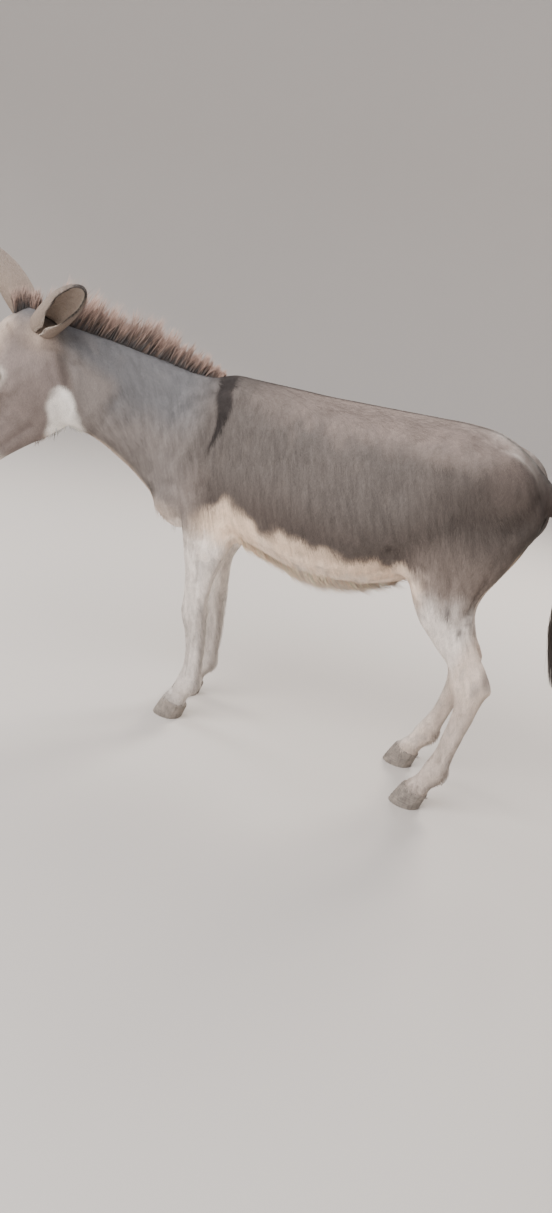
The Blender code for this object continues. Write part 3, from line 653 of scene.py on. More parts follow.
def locks(roots, normals, ways, shape):
    # shape: length, width, lift, rings, curl and sink, as single values or one for each root
    count = len(roots)
    bow = shape.pop("bow", np.zeros((count, 3)))
    thick = shape.pop("thick", 0.75)
    full = {key: np.broadcast_to(np.asarray(value, float), (count,)) for key, value in shape.items()}
    rings = int(full["rings"][0])
    aside = np.cross(normals, ways)
    points = np.empty((count, rings * 3 + 1, 3))
    strand = np.empty((count, rings * 3 + 1, 3))
    bend = full["curl"] * dice.normal(0, 1, count)
    seed = dice.random(count)

    def centre(share):
        rise = full["lift"] * (1 - (1 - share) ** 2)
        path = roots + ways * (full["length"] * share)[:, None]
        path = path + normals * (full["length"] * rise - full["sink"])[:, None] + bow * share**2
        return path + aside * (full["length"] * bend * share**2)[:, None]

    for ring in range(rings):
        share = ring / rings
        half = full["width"] / 2 * (0.55 + 0.45 * math.sin(math.pi * min(1.0, 0.25 + share * 1.1)))
        half = half * (1 - share) ** 0.35
        middle = centre(share)
        points[:, ring * 3] = middle - aside * half[:, None]
        points[:, ring * 3 + 1] = middle + normals * (half * thick)[:, None]
        points[:, ring * 3 + 2] = middle + aside * half[:, None]
        for k in range(3):
            strand[:, ring * 3 + k] = np.stack([np.full(count, k - 1.0), np.full(count, share), seed], axis=1)
    points[:, -1] = centre(1.0)
    strand[:, -1] = np.stack([np.zeros(count), np.ones(count), seed], axis=1)
    return points, strand


patch = {"size": 0.003, "across": 0.45, "along": 0.9}  # one lock's place on the unwrap


def lockObject(name, points, strand, uv, colours, normals=None, follow=0.0):
    # follow: how far the shading keeps to the hide under the lock
    count, each = points.shape[:2]
    tris = lockFaces(each // 3, count)
    mesh = meshFrom(name, points.reshape(-1, 3), tris)
    if follow:
        under = np.repeat(normals, each, axis=0)
        own = normalsOf(mesh)
        own[(own * under).sum(axis=1) < 0] *= -1
        shaded = unit(own * (1 - follow) + under * follow)
        mesh.normals_split_custom_set_from_vertices(shaded.tolist())
    paint(mesh, "coat", colours.reshape(-1, 3))
    setAttribute(mesh, "strand", "FLOAT_VECTOR", "vector", strand)
    across = strand[:, :, 0] * patch["size"] * patch["across"]
    along = (strand[:, :, 1] - 0.5) * patch["size"] * patch["along"]
    places = uv[:, None, :] + np.stack([across, along], axis=2)
    bake = mesh.uv_layers.new(name="OFBake")
    bake.data.foreach_set("uv", places.reshape(-1, 2)[tris.ravel()].astype(np.float32).ravel())
    print(name, count, "locks", len(tris), "faces")
    return addObject(name, mesh)


def lockPiece(name, roots, normals, ways, uv, shape, base, tint):
    # tint(colour at the root, share along the lock, chance) gives the colour of each ring
    follow = shape.pop("follow", 0.0)
    points, strand = locks(roots, normals, ways, shape)
    chance = dice.random(len(roots))
    rings = strand[:, :, 1].T
    colours = np.stack([tint(base, share, chance) for share in rings], axis=1)
    return lockObject(name, points, strand, uv, colours, normals, follow)


# colours of the animal, as light linear values
tones = {
    "dun": (0.130, 0.113, 0.104),
    "dunWarm": (0.094, 0.076, 0.068),
    # rump: painted shade, the hindquarters darker as where they lie in shade
    "rump": (0.070, 0.058, 0.052),
    "shoulder": (0.255, 0.215, 0.195),
    "stifle": (0.205, 0.166, 0.145),
    # back: painted highlight, the top of the back lighter as where the light falls on it
    "back": (0.270, 0.214, 0.188),
    "neckBlue": (0.142, 0.142, 0.149),
    "neck": (0.215, 0.190, 0.178),
    "cream": (0.880, 0.670, 0.505),
    "pale": (0.700, 0.570, 0.480),
    "legs": (0.830, 0.755, 0.695),
    "legShade": (0.330, 0.300, 0.285),
    "cross": (0.034, 0.029, 0.028),
    "forehead": (0.450, 0.355, 0.290),
    "face": (0.220, 0.182, 0.168),
    "muzzle": (0.690, 0.635, 0.570),
    "nose": (0.045, 0.040, 0.040),
    "lid": (0.050, 0.041, 0.038),
    "mark": (0.110, 0.098, 0.095),
    "throat": (0.880, 0.840, 0.790),
}
# where the markings run
whiteLine = {  # upper edge of the pale belly
    "x": (-0.40, -0.31, -0.23, -0.16, -0.08, 0.04, 0.15, 0.25, 0.31, 0.36),
    "z": (0.690, 0.742, 0.722, 0.698, 0.692, 0.692, 0.685, 0.700, 0.670, 0.600),
}
crossBar = {  # over the withers and down the shoulder
    "line": [(-0.440, 1.115), (-0.415, 1.055), (-0.392, 1.000), (-0.392, 0.940), (-0.412, 0.855)],
    "half": (0.052, 0.028, 0.020, 0.013, 0.005),
}
backStripe = {"x": (0.2, 0.5), "half": (0.014, 0.024)}
neckUnder = {"x": (0.46, 0.63, 0.75, 0.88, 0.99), "y": (0.0, -0.036, -0.092, -0.162, -0.226)}
throatPatch = {  # white behind the jaw, slanting down and back
    "top": (0.100, -0.192),
    "slant": (0.809, 0.588),
    "down": (-0.012, 0.02, 0.06, 0.12, 0.17),
    "half": (-0.05, 0.018, 0.039, 0.047, 0.050),
}
darkMarks = {  # chestnuts and scuffs: place, size, strength
    "stifle one": ((0.404, -0.180, 0.609), 0.010, 0.80),
    "stifle two": ((0.448, -0.166, 0.563), 0.008, 0.80),
    "hock left": ((0.536, -0.130, 0.430), 0.022, 0.75),
    "hock right": ((0.440, 0.166, 0.430), 0.018, 0.60),
    "knee": ((-0.352, -0.142, 0.420), 0.007, 0.60),
    "cannon": ((0.470, -0.150, 0.300), 0.006, 0.60),
    "chestnut left": ((-0.362, -0.060, 0.455), 0.012, 0.95),
    "chestnut right": ((-0.406, 0.060, 0.455), 0.012, 0.95),
}
tailStart = 0.59


def trunkMarkings(lay, spot):
    x, _, z = spot["body"].T
    ragged, broad = spot["ragged"], spot["broad"]
    lay("dunWarm", soft(0.88 - z, 0.0, 0.16) * 0.85 + broad * 0.5)  # darker and warmer low on the flank
    rise = 0.14 * soft(x, 0.34, 0.50)  # the painted shade over the rump climbs towards the tail
    # painted shade: the hindquarters below the croup made darker
    lay("rump", soft(x, 0.22, 0.42) * (1 - soft(z, 0.90 + rise, 1.02 + rise)) * 0.85)
    lay("dunWarm", soft(x, 0.36, 0.50) * soft(z, 0.86, 0.96) * 0.85)
    lay("stifle", soft(x, 0.22, 0.34) * soft(0.86 - z, 0.0, 0.22))
    lay("shoulder", soft(-x, 0.36, 0.46) * soft(0.86 - z, 0.0, 0.14))
    backHighlightSpan = soft(x, -0.42, -0.10) * (1 - soft(x, 0.42, 0.54))
    # painted highlight: the top of the back made lighter along this span
    lay("back", soft(z + ragged * 0.05, 0.965, 1.085) * 0.85 * backHighlightSpan)


def neckMarkings(lay, spot):
    x, y, z = spot["body"].T
    ragged, normals = spot["ragged"], spot["normals"]
    neck = soft(-x, 0.40, 0.56) * (1 - spot["face"])
    lay("neck", neck)
    lay("neckBlue", neck * soft(z + ragged * 0.04, 0.86, 0.98) * 0.9)
    below = -0.55 * normals[:, 0] - 0.83 * normals[:, 2]
    middle = np.interp(-x, neckUnder["x"], neckUnder["y"])
    low = soft(0.075 - np.abs(y - middle) + ragged * 0.02, 0.0, 0.03)  # the pale line under the neck
    low = low * soft(0.90 - z + 0.3 * (-x - 0.6), 0.0, 0.05)
    lay("pale", neck * soft(below + ragged * 0.2, 0.55, 0.9) * low * 0.9)


def crossMarkings(lay, spot):
    x, y, z = spot["body"].T
    ragged = spot["ragged"]
    wide = np.interp(x, backStripe["x"], backStripe["half"])
    stripe = np.exp(-((y / wide) ** 2)) * (0.85 + ragged * 0.4)
    lay("cross", stripe * soft(z, 0.80, 0.86) * soft(x, -0.50, -0.42))
    line = np.array([(lineX, 0.0, lineZ) for lineX, lineZ in crossBar["line"]])
    far, along = lineDistance(spot["body"] * (1, 0, 1), line)
    half = np.interp(along, np.linspace(0, 1, len(crossBar["half"])), crossBar["half"])
    bar = (1 - soft(far + ragged * 0.008, half * 0.72, half * 1.20)) * soft(z, 0.850, 0.875)
    lay("cross", bar * 0.96)


def paleMarkings(lay, spot):
    x, y, z = spot["body"].T
    ragged = spot["ragged"]
    edge = np.interp(x, whiteLine["x"], whiteLine["z"])
    white = 1 - soft(z + ragged * 0.045 + spot["broad"] * 0.02, edge - 0.032, edge + 0.018)
    lay("cream", white * soft(x, -0.46, -0.31) * (1 - soft(x, 0.28, 0.35)) * (1 - spot["face"]))
    # breast, legs, inside of the thighs, back of the hams and the stifle fold
    breast = blob(spot["body"], (-0.560, -0.01, 0.610), (0.100, 0.150, 0.070))
    lay("pale", soft(breast + ragged * 0.25, 0.04, 0.65) * 0.90)
    lay("legs", soft(0.612 - z + ragged * 0.06, -0.065, 0.065) * (x > -0.55) * (x < tailStart))
    inner = soft(0.105 - np.abs(y), -0.03, 0.03) * soft(0.80 - z, 0, 0.10) * soft(x, 0.24, 0.30)
    lay("cream", inner * (x < tailStart) * 0.85)
    heel = soft(x - 0.455 - 0.25 * (z - 0.58), 0.0, 0.05) * soft(0.67 - z, 0.0, 0.07)
    lay("pale", heel * (x < tailStart) * 0.85)
    front = soft(0.35 - x + (z - 0.66) * 0.25 + ragged * 0.03, 0.0, 0.06) * soft(0.72 - z, 0.0, 0.06)
    lay("pale", front * (x > 0.22) * 0.6)


def tailAndLegMarkings(lay, spot):
    x, _, z = spot["body"].T
    lay("dunWarm", soft(x, 0.565, 0.60))
    lay("cross", soft(x, 0.58, 0.62) * soft(0.86 - z, 0.0, 0.14) * 0.8)
    low = (z < 0.64) & (x > -0.55) & (x < tailStart)
    mottle = soft(grain(spot["body"], 0.020, 21), 0.60, 0.85) * low
    lay("legShade", mottle * 0.42)
    lay("legShade", low * soft(0.46 - z, 0.0, 0.22) * 0.42)
    rough = spot["body"] + spot["ragged"][:, None] * 0.008
    for place, size, strength in darkMarks.values():
        lay("mark", blob(rough, place, (size, size, size * 1.4)) * strength * 1.3)


def headMarkings(lay, spot):
    head, face, ragged = spot["head"], spot["face"], spot["ragged"]
    down, _, out = head.T
    behind = -0.105 - down - out  # past the edge of the cheek
    rear = soft(behind + ragged * 0.03, 0.0, 0.05)
    lay("face", face * (1 - rear))
    lay("neck", face * rear)
    jawShade = np.exp(-(((behind - 0.012) / 0.026) ** 2)) * soft(-out, 0.06, 0.11)
    lay("dunWarm", face * jawShade * 0.75)
    lay("forehead", face * soft(out + ragged * 0.03, -0.030, 0.02) * (1 - soft(down, 0.30, 0.40)) * 0.85)
    for side in sides:
        lay("forehead", blob(head, mirrored((0.012, 0.085, -0.075), side), (0.045, 0.05, 0.05)) * 0.8)
    lay("cross", face * soft(0.030 - down + ragged * 0.02, 0.0, 0.04) * soft(out, -0.02, 0.02) * 0.7)
    topDown, topOut = throatPatch["top"]
    steep, flat = throatPatch["slant"]
    along = (down - topDown) * steep - (out - topOut) * flat
    ahead = (down - topDown) * flat + (out - topOut) * steep
    half = np.interp(along, throatPatch["down"], throatPatch["half"])
    lay("throat", face * soft(half - np.abs(ahead) + ragged * 0.022, -0.016, 0.018))
    lay("muzzle", face * soft(down + ragged * 0.03 - 0.25 * np.clip(out + 0.05, 0, 1), 0.365, 0.440))


def eyeAndNoseMarkings(lay, spot):
    head, points, ragged = spot["head"], spot["points"], spot["ragged"]
    for side in sides:
        fromEye = points - eyePlace(side)
        gap = np.linalg.norm(fromEye, axis=1)
        lay("muzzle", (1 - soft(gap + ragged * 0.008, 0.022, 0.044)) * 0.45)
        rim = fromEye @ eyeAxes(side).T
        lay("lid", (1 - soft(lidGap(rim[:, 0], rim[:, 1]), 0.0016, 0.0046)) * (rim[:, 2] > 0) * (gap < 0.03))
        far = np.linalg.norm(head - mirrored(nostril["place"], side), axis=1)
        lay("nose", np.exp(-((far / 0.017) ** 4)) * 0.85)
    lips = np.exp(-((mouthLevel(head) / 0.0065) ** 2)) * soft(head[:, 0], 0.445, 0.470)
    lay("nose", lips * spot["face"] * 0.72)


def shadeOfCoat(spot):  # broad patches, streaks the way the hair lies, and a mottled face
    x, y, z = spot["body"].T
    face = spot["face"]
    slant = np.stack([x + 0.36 * z, y, z - 0.3 * x], axis=1)
    streak = grain(slant, (0.007, 0.010, 0.055), 31) + 0.7 * grain(slant, (0.0035, 0.006, 0.03), 33) - 0.85
    shade = 1 + 0.36 * streak * (1 - 0.6 * face) + 0.16 * spot["broad"]
    return shade + 0.30 * face * (grain(spot["head"], (0.035, 0.02, 0.02), 35) - 0.5)


def coatColour(points, normals):
    spot = {**regions(points), "points": points, "normals": normals}
    spot["ragged"] = grain(spot["body"], 0.035, 5) - 0.5
    spot["broad"] = grain(spot["body"], 0.16, 8) - 0.5
    colour = np.tile(np.array(tones["dun"]), (len(points), 1))

    def lay(tone, share):
        share = np.clip(share, 0, 1)[:, None]
        colour[:] = colour * (1 - share) + np.array(tones[tone]) * share

    trunkMarkings(lay, spot)
    neckMarkings(lay, spot)
    crossMarkings(lay, spot)
    paleMarkings(lay, spot)
    tailAndLegMarkings(lay, spot)
    headMarkings(lay, spot)
    eyeAndNoseMarkings(lay, spot)
    return colour * shadeOfCoat(spot)[:, None]


def tintOfCoat(base, share, chance):
    return base * ((0.91 + 0.18 * chance) * (0.93 + 0.12 * share))[:, None]


skin = makeHide()
unwrapHide(skin)
makeFace(skin)
hideSurface = surfaceOf(skin.data)
paint(skin.data, "coat", coatColour(pointsOf(skin.data), normalsOf(skin.data)) * 0.92)
print("hide", len(skin.data.polygons), "faces")

# short coat over the whole body: how close, and the size of a lock
longCoat = {"spacing": 0.0036, "length": 0.024, "width": 0.0019, "lift": 0.050}
coatPlan = {"coat_flank_%s_%s" % (end, side): longCoat for end in ("front", "rear") for side in sides}
coatPlan["coat_neck"] = {**longCoat, "spacing": 0.0035}
coatPlan["coat_head"] = {"spacing": 0.0035, "length": 0.0125, "width": 0.0017, "lift": 0.06}
coatPlan["coat_legs_front"] = {**longCoat, "length": 0.0165, "lift": 0.11}
coatPlan["coat_legs_hind"] = {**longCoat, "length": 0.0145, "lift": 0.07}
coatLock = {"rings": 1, "curl": 0.025, "sink": 0.0004, "thick": 0.28, "follow": 0.50, "jitter": 0.05}
bareSkin = {"lid": 0.003, "nostril": 0.013, "lips": 0.004}  # how far the coat stays away
flankSplit = 0.07


def bareFace(points, head):
    bare = (np.abs(mouthLevel(head)) < bareSkin["lips"]) & (head[:, 0] > 0.445)
    for side in sides:
        local = (points - eyePlace(side)) @ eyeAxes(side).T
        bare |= (lidGap(local[:, 0], local[:, 1]) < bareSkin["lid"]) & (np.linalg.norm(local, axis=1) < 0.032)
        bare |= np.linalg.norm(head - mirrored(nostril["place"], side), axis=1) < bareSkin["nostril"]
    return bare


def coatShare(name, points):  # which part of the hide belongs to each piece of the coat
    part = regions(points)
    x, y, z = part["body"].T
    face = part["face"] > 0.5
    legs = (z < 0.60) & (x > -0.50) & ~((np.abs(x) < 0.30) & (z > 0.52))
    neck = ~face & ~legs & (x < -0.50)
    if name == "coat_head":
        where = face & ~bareFace(points, part["head"])
    elif name == "coat_neck":
        where = neck
    elif name.startswith("coat_legs"):
        where = legs & (x < 0 if name.endswith("front") else x > 0)
    else:
        end = x < flankSplit if "front" in name else x >= flankSplit
        side = y < 0 if "left" in name else y >= 0
        where = ~face & ~legs & ~neck & end & side
    return where * 1.0


def lengthFactor(points):  # the coat is longer under the belly and the jaw, and shorter on bone
    part = regions(points)
    body, head = part["body"], part["head"]
    factor = 1 + 0.35 * (grain(body, 0.05, 41) - 0.5)
    factor += 0.45 * part["belly"]
    factor *= 1 - 0.42 * part["muzzle"]
    eyeGap = np.minimum(*[np.linalg.norm(points - eyePlace(side), axis=1) for side in sides])
    factor *= 0.45 + 0.55 * soft(eyeGap, 0.022, 0.050)
    factor *= 1 + 0.55 * part["face"] * soft(-head[:, 2], 0.17, 0.27)
    factor *= 1 - 0.15 * soft(0.20 - body[:, 2], 0.0, 0.10)
    return factor


def makeCoat(name):
    plan = {**coatPlan[name], **coatLock}
    roots, normals, uv = scatter(hideSurface, coatShare(name, hideSurface["middle"]), plan["spacing"])
    count = len(roots)
    ways = lieOfCoat(roots, normals)
    size = lengthFactor(roots) * dice.uniform(0.75, 1.15, count)
    ways = unit(ways + np.cross(normals, ways) * dice.normal(0, plan["jitter"], (count, 1)))
    shape = shapeFrom(
        plan,
        length=plan["length"] * size,
        width=plan["width"] * dice.uniform(0.8, 1.2, count),
        lift=plan["lift"] * dice.uniform(0.6, 1.4, count),
    )
    shape["bow"] = drape(hideSurface, roots, ways, shape["length"])
    return lockPiece(name, roots, normals, ways, uv, shape, coatColour(roots, normals), tintOfCoat)


coatPieces = [makeCoat(name) for name in coatPlan]

# ragged longer hair under the belly, on the breast and under the jaw
fringePlan = {
    "spacing": 0.0068,
    "length": 0.048,
    "jaw": 0.62,  # length there, as a share
    "width": 0.0024,
    "lift": 0.10,
    "rings": 3,
    "curl": 0.14,
    "sink": 0.001,
    "follow": 0.45,
    # painted light: the fringe lighter and warmer than its coat, as where light shines through and bounces
    # under the belly
    "paintedLight": (1.22, 1.12, 1.02),
}


def fringeShare(points):
    part = regions(points)
    body, head = part["body"], part["head"]
    edge = np.interp(body[:, 0], whiteLine["x"], whiteLine["z"])
    under = (body[:, 2] < edge - 0.075) & (np.abs(body[:, 0]) < 0.26) & (body[:, 2] > 0.50)
    breast = blob(body, (-0.575, -0.01, 0.665), (0.065, 0.075, 0.05)) > 0.35
    jaw = (part["face"] > 0.5) & (head[:, 2] < -0.235 + 0.28 * head[:, 0] - 0.02) & (head[:, 0] < 0.30)
    jaw &= np.abs(head[:, 1]) < 0.035
    return under * 1.0 + breast * 0.6 + jaw * 0.30


def makeFringe():
    plan = fringePlan
    roots, normals, uv = scatter(hideSurface, fringeShare(hideSurface["middle"]), plan["spacing"])
    count = len(roots)
    ways = unit(lieOfCoat(roots, normals) * 0.9 + np.array([0.05, 0.0, -0.75]))
    ways = unit(flattened(ways, normals, 0.55))
    size = dice.uniform(0.55, 1.15, count) * (0.45 + 1.15 * grain(roots - home, 0.020, 45))
    onJaw = regions(roots)["face"] > 0.5
    shorter = np.where(onJaw, plan["jaw"], 1.0 - 0.35 * soft(roots[:, 0] - home[0], 0.16, 0.24))
    length = plan["length"] * size * shorter
    shape = shapeFrom(plan, length=length, width=plan["width"] * dice.uniform(0.7, 1.2, count))
    # painted light: the fringe's coat colour brightened and warmed
    base = np.minimum(coatColour(roots, normals) * plan["paintedLight"], 0.95)
    return lockPiece("belly_fringe", roots, normals, ways, uv, shape, base, tintOfCoat)


fringe = makeFringe()

# mane and forelock: upright locks along the crest
manePlan = {
    "crest": [(-0.462, 0.0, 1.078), (-0.500, -0.004, 1.076), (-0.625, -0.036, 1.098), (-0.752, -0.092, 1.124),
              (-0.880, -0.162, 1.147), (-0.985, -0.226, 1.152)],
    "height": (0.024, 0.043, 0.088, 0.108, 0.120, 0.136),
    "half": 0.013,
    "count": 4200,
    "clumps": 74,
    "width": 0.0030,
    "rings": 4,
    "back": 0.46,  # lean towards the withers
    "sunk": 0.016,
    "pale": 0.02,
}
forelockPlan = {
    "roots": [(0.006, 0.003, 0.020), (-0.012, -0.002, 0.004),
              (-0.022, -0.002, -0.018), (-0.019, 0.002, -0.038)],
    "height": (0.058, 0.080, 0.090, 0.092),
    "half": 0.014,
    "count": 900,
    "clumps": 14,
    "width": 0.0030,
    "rings": 4,
    "back": 0.10,
    "sunk": 0.012,
    "pale": -0.16,
}
crestLock = {
    "lift": 0.03,
    "curl": 0.07,
    "sink": 0.0,
    "gather": 0.30,  # how far a hair stands in towards the heart of its clump
    "clumpHeight": (0.72, 1.12),
    "hairHeight": (0.66, 1.06),
    "sideLean": 0.13,
    "backLean": 0.12,
    "fan": 0.15,
    "wild": 0.045,
    "shade": (-0.22, 0.16),
}
looseHair = {"share": 0.36, "height": 0.74}  # lower hair between the clumps
maneTones = {"root": (0.062, 0.056, 0.055), "middle": (0.170, 0.116, 0.094), "tip": (0.480, 0.330, 0.270)}


def tintOfMane(base, share, chance):  # base holds how dark the clump is at its root
    reach = share + base[:, 0] + (chance - 0.5) * 0.30
    middle = soft(reach, 0.16, 0.52)[:, None]
    tip = soft(reach, 0.48, 0.98)[:, None]
    colour = np.array(maneTones["root"]) * (1 - middle) + np.array(maneTones["middle"]) * middle
    colour = colour * (1 - tip) + np.array(maneTones["tip"]) * tip
    return colour * (0.80 + 0.4 * ((chance * 7.31) % 1.0))[:, None]


def alongPath(path, share):
    path = np.asarray(path, float)
    steps = np.linalg.norm(np.diff(path, axis=0), axis=1)
    reach = np.concatenate([[0], np.cumsum(steps)]) / steps.sum()
    return np.stack([np.interp(share, reach, path[:, axis]) for axis in range(3)], axis=1), reach


def makeCrestHair(name, path, plan):
    plan = {**plan, **crestLock}
    count, half, clumps = plan["count"], plan["half"], plan["clumps"]
    share = np.sort(dice.random(count))
    offset = dice.uniform(-1, 1, count)
    clump = np.floor(share * clumps + dice.normal(0, 0.22, count) + 0.35 * offset)
    clump = np.clip(clump, 0, clumps - 1).astype(int)
    heart = (clump + 0.5) / clumps
    loose = dice.random(count) < looseHair["share"]
    share = np.where(loose, share, np.clip(share + (heart - share) * plan["gather"], 0, 1))
    roots, reach = alongPath(path, share)
    forward, _ = alongPath(path, np.clip(share + 0.02, 0, 1))
    behind, _ = alongPath(path, np.clip(share - 0.02, 0, 1))
    run = unit(forward - behind)
    up = np.tile(np.array([0.0, 0.0, 1.0]), (count, 1))
    aside = unit(np.cross(run, up))
    roots = roots + aside * (offset * half)[:, None]
    roots = roots - up * (plan["sunk"] + 0.006 * offset**2)[:, None]
    tall = dice.uniform(*plan["clumpHeight"], clumps)[clump]
    tall = tall * (0.86 + 0.30 * grain(np.stack([share * 7, 0 * share, 0 * share], axis=1), 1.0, 61))
    height = np.interp(share, reach, plan["height"]) * tall
    height = height * dice.uniform(*plan["hairHeight"], count) * (1 - 0.14 * offset**2)
    height = height * np.where(loose, looseHair["height"], 1.0)
    sideLean = np.where(loose, 0.0, dice.normal(0, plan["sideLean"], clumps)[clump]) + offset * 0.12
    spread = dice.normal(0, plan["backLean"], clumps)[clump] + (share - heart) * clumps * plan["fan"]
    backLean = plan["back"] + np.where(loose, 0.0, spread)
    lean = up + aside * sideLean[:, None] - run * backLean[:, None]
    ways = unit(lean + dice.normal(0, plan["wild"], (count, 3)))
    normals = unit(flattened(aside * np.sign(offset + 1e-6)[:, None], ways))
    width = plan["width"] * dice.uniform(0.7, 1.3, count)
    shape = shapeFrom(plan, length=height + plan["sunk"], width=width)
    uv = np.stack([0.02 + 0.96 * share, 0.5 + offset * 0.25], axis=1)
    shade = (dice.uniform(*plan["shade"], clumps)[clump] + plan["pale"])[:, None] * np.ones(3)
    return lockPiece(name, roots, normals, ways, uv, shape, shade, tintOfMane)


mane = makeCrestHair("mane_hair", at(manePlan["crest"]), manePlan)
forelock = makeCrestHair("forelock_hair", onHead(forelockPlan["roots"]), forelockPlan)

# tail: short hair on the dock is part of the coat, and the long switch hangs from its end
switchPlan = {
    "path": [(0.655, 0.0, 0.775), (0.671, 0.0, 0.700), (0.682, 0.0, 0.640),
             (0.697, 0.0, 0.560), (0.709, 0.0, 0.480), (0.713, 0.0, 0.432)],
    "radius": (0.014, 0.019, 0.026, 0.030, 0.022, 0.009),
    "count": 1100,
    "rings": 9,
    "half": 0.0017,
    "wave": 0.003,
}
tailTones = {"top": (0.150, 0.125, 0.110), "low": (0.042, 0.033, 0.028)}


def makeSwitch():
    plan = switchPlan
    count, rings = plan["count"], plan["rings"]
    start = dice.random(count) ** 1.3 * 0.42
    end = np.clip(start + dice.uniform(0.45, 0.75, count), 0, 1.0)
    turn = dice.uniform(0, 2 * np.pi, count)
    depth = np.sqrt(dice.uniform(0.25, 1.0, count))
    path = at(plan["path"])
    points = np.empty((count, rings * 3 + 1, 3))
    strand = np.empty_like(points)
    seed = dice.random(count)
    wave = dice.normal(0, plan["wave"], (count, 2))
    zero = np.zeros(count)
    out = np.stack([np.cos(turn), np.sin(turn), zero], axis=1)
    side = np.stack([-np.sin(turn), np.cos(turn), zero], axis=1)
    for ring in range(rings + 1):
        share = ring / rings
        place = start + (end - start) * share
        middle, reach = alongPath(path, place)
        radius = np.interp(place, reach, plan["radius"]) * depth * (0.55 + 0.45 * min(1, share * 3))
        sway = [wave[:, 0] * np.sin(share * 5 + turn), wave[:, 1] * np.cos(share * 4 + turn), zero]
        centre = middle + out * radius[:, None] + np.stack(sway, axis=1)
        if ring == rings:
            points[:, -1] = centre
            strand[:, -1] = np.stack([zero, zero + 1, seed], axis=1)
            break
        half = plan["half"] * (1 - share) ** 0.4 * (0.6 + 0.4 * math.sin(math.pi * min(1, share + 0.2)))
        for k, step in enumerate((-side, out * 0.7, side)):
            points[:, ring * 3 + k] = centre + step * half
            strand[:, ring * 3 + k] = np.stack([zero + k - 1, zero + share, seed], axis=1)
    height = start[:, None] + (end - start)[:, None] * strand[:, :, 1]
    mix = soft(height, 0.05, 0.45)[:, :, None]
    colours = np.array(tailTones["top"]) * (1 - mix) + np.array(tailTones["low"]) * mix
    colours = colours * (0.75 + 0.5 * seed)[:, None, None]
    uv = np.stack([0.02 + turn / (2 * np.pi) * 0.96, 0.1 + start], axis=1)
    return lockObject("tail_hair", points, strand, uv, colours)


tailHair = makeSwitch()

# ears: a thin leaf rolled into a cup, with short fur outside and long pale hair inside
earPlan = {
    "rows": 60,
    "columns": 33,
    "long": 0.262,
    "half": 0.0455,
    "wall": 0.0022,
    "root": 0.22,  # share of the length that stands in the head
    "wrap": (174, 92),  # degrees to each side of the back, at the root and at the tip
    "bend": 0.020,
    "ridge": 0.0016,
    "left": {"base": (0.005, 0.0645, -0.070), "along": (0.750, -0.396, 0.530),
             "opening": (0.117, -0.813, -0.571)},
    "right": {"base": (0.002, -0.060, -0.020), "along": (-0.70, -0.05, 0.70),
              "opening": (-0.75, 0.62, -0.25)},
}
earTones = {
    "back": (0.285, 0.228, 0.190),
    "inside": (0.850, 0.755, 0.660),
    # the middle of the cup: partly its own darker skin, partly painted shade
    "cupSkinAndShade": (0.620, 0.520, 0.450),
    "rim": (0.040, 0.033, 0.031),
    "hair": (0.850, 0.760, 0.660),
}
earStep = 0.004  # how far apart the ear is felt for its normals


def earPoint(side, share, turnShare):  # share runs up the ear, turnShare from -1 to 1 round it
    plan = earPlan[side]
    base = onHead(plan["base"])
    along = unit(np.array(plan["along"], float))
    opening = np.array(plan["opening"], float)
    opening = unit(opening - along * (along @ opening))
    across = np.cross(along, opening)
    reach = np.clip(share, 0, 1)
    swell = np.sin(np.pi * np.minimum(1, 0.30 + 0.70 * reach) ** 1.05)
    wide = earPlan["half"] * (0.10 + 0.90 * np.clip(swell, 0, None) ** 0.62)
    wide = wide * (1 - 0.75 * np.clip((share - 0.955) / 0.045, 0, 1) ** 2)
    atRoot, atTip = earPlan["wrap"]
    opened = np.clip((reach - 0.16) / 0.84, 0, 1) ** 0.85
    wrap = np.radians(atRoot - (atRoot - atTip) * opened + 6 * soft(-share, 0.0, 0.08))
    radius = wide / np.maximum(np.sin(np.minimum(wrap, np.pi / 2)), 0.3)
    radius = radius * np.sqrt(np.clip(1 - (np.minimum(share, 0) / (earPlan["root"] + 0.01)) ** 2, 0, 1))
    bend = earPlan["bend"] * np.sin(np.pi * reach)
    ripple = 1 + 0.02 * np.sin(share * 23 + turnShare * 3.0) * np.abs(turnShare) ** 3
    turn = wrap * turnShare * ripple
    back = radius * (0.35 * np.cos(wrap) - np.cos(turn)) - bend
    curl = 0.004 * np.clip(np.abs(turnShare) - 0.72, 0, 1) / 0.28 * np.sin(np.pi * reach)
    place = base + along * (share * earPlan["long"])[:, None]
    place = place + opening * (back + curl)[:, None] + across * (radius * np.sin(turn))[:, None]
    return place


def earWays(side, share, turnShare):  # up the ear and round it
    up = earPoint(side, share + earStep, turnShare) - earPoint(side, share - earStep, turnShare)
    around = earPoint(side, share, turnShare + earStep) - earPoint(side, share, turnShare - earStep)
    return up, around


def earFrame(side, share, turnShare):  # place, outward normal, way up the ear, way towards the near rim
    up, around = (unit(way) for way in earWays(side, share, turnShare))
    outward = unit(np.cross(up, around)) * outwardSign(side)
    rimward = around * np.sign(turnShare + 1e-9)[:, None]
    return earPoint(side, share, turnShare), outward, up, rimward


def outwardSign(side):
    half, zero, edge = np.array([0.5]), np.array([0.0]), np.array([0.8])
    up, around = earWays(side, half, zero)
    rims = earPoint(side, half, edge) + earPoint(side, half, -edge)
    back = earPoint(side, half, zero) - 0.5 * rims
    return 1.0 if float(np.cross(up[0], around[0]) @ back[0]) > 0 else -1.0


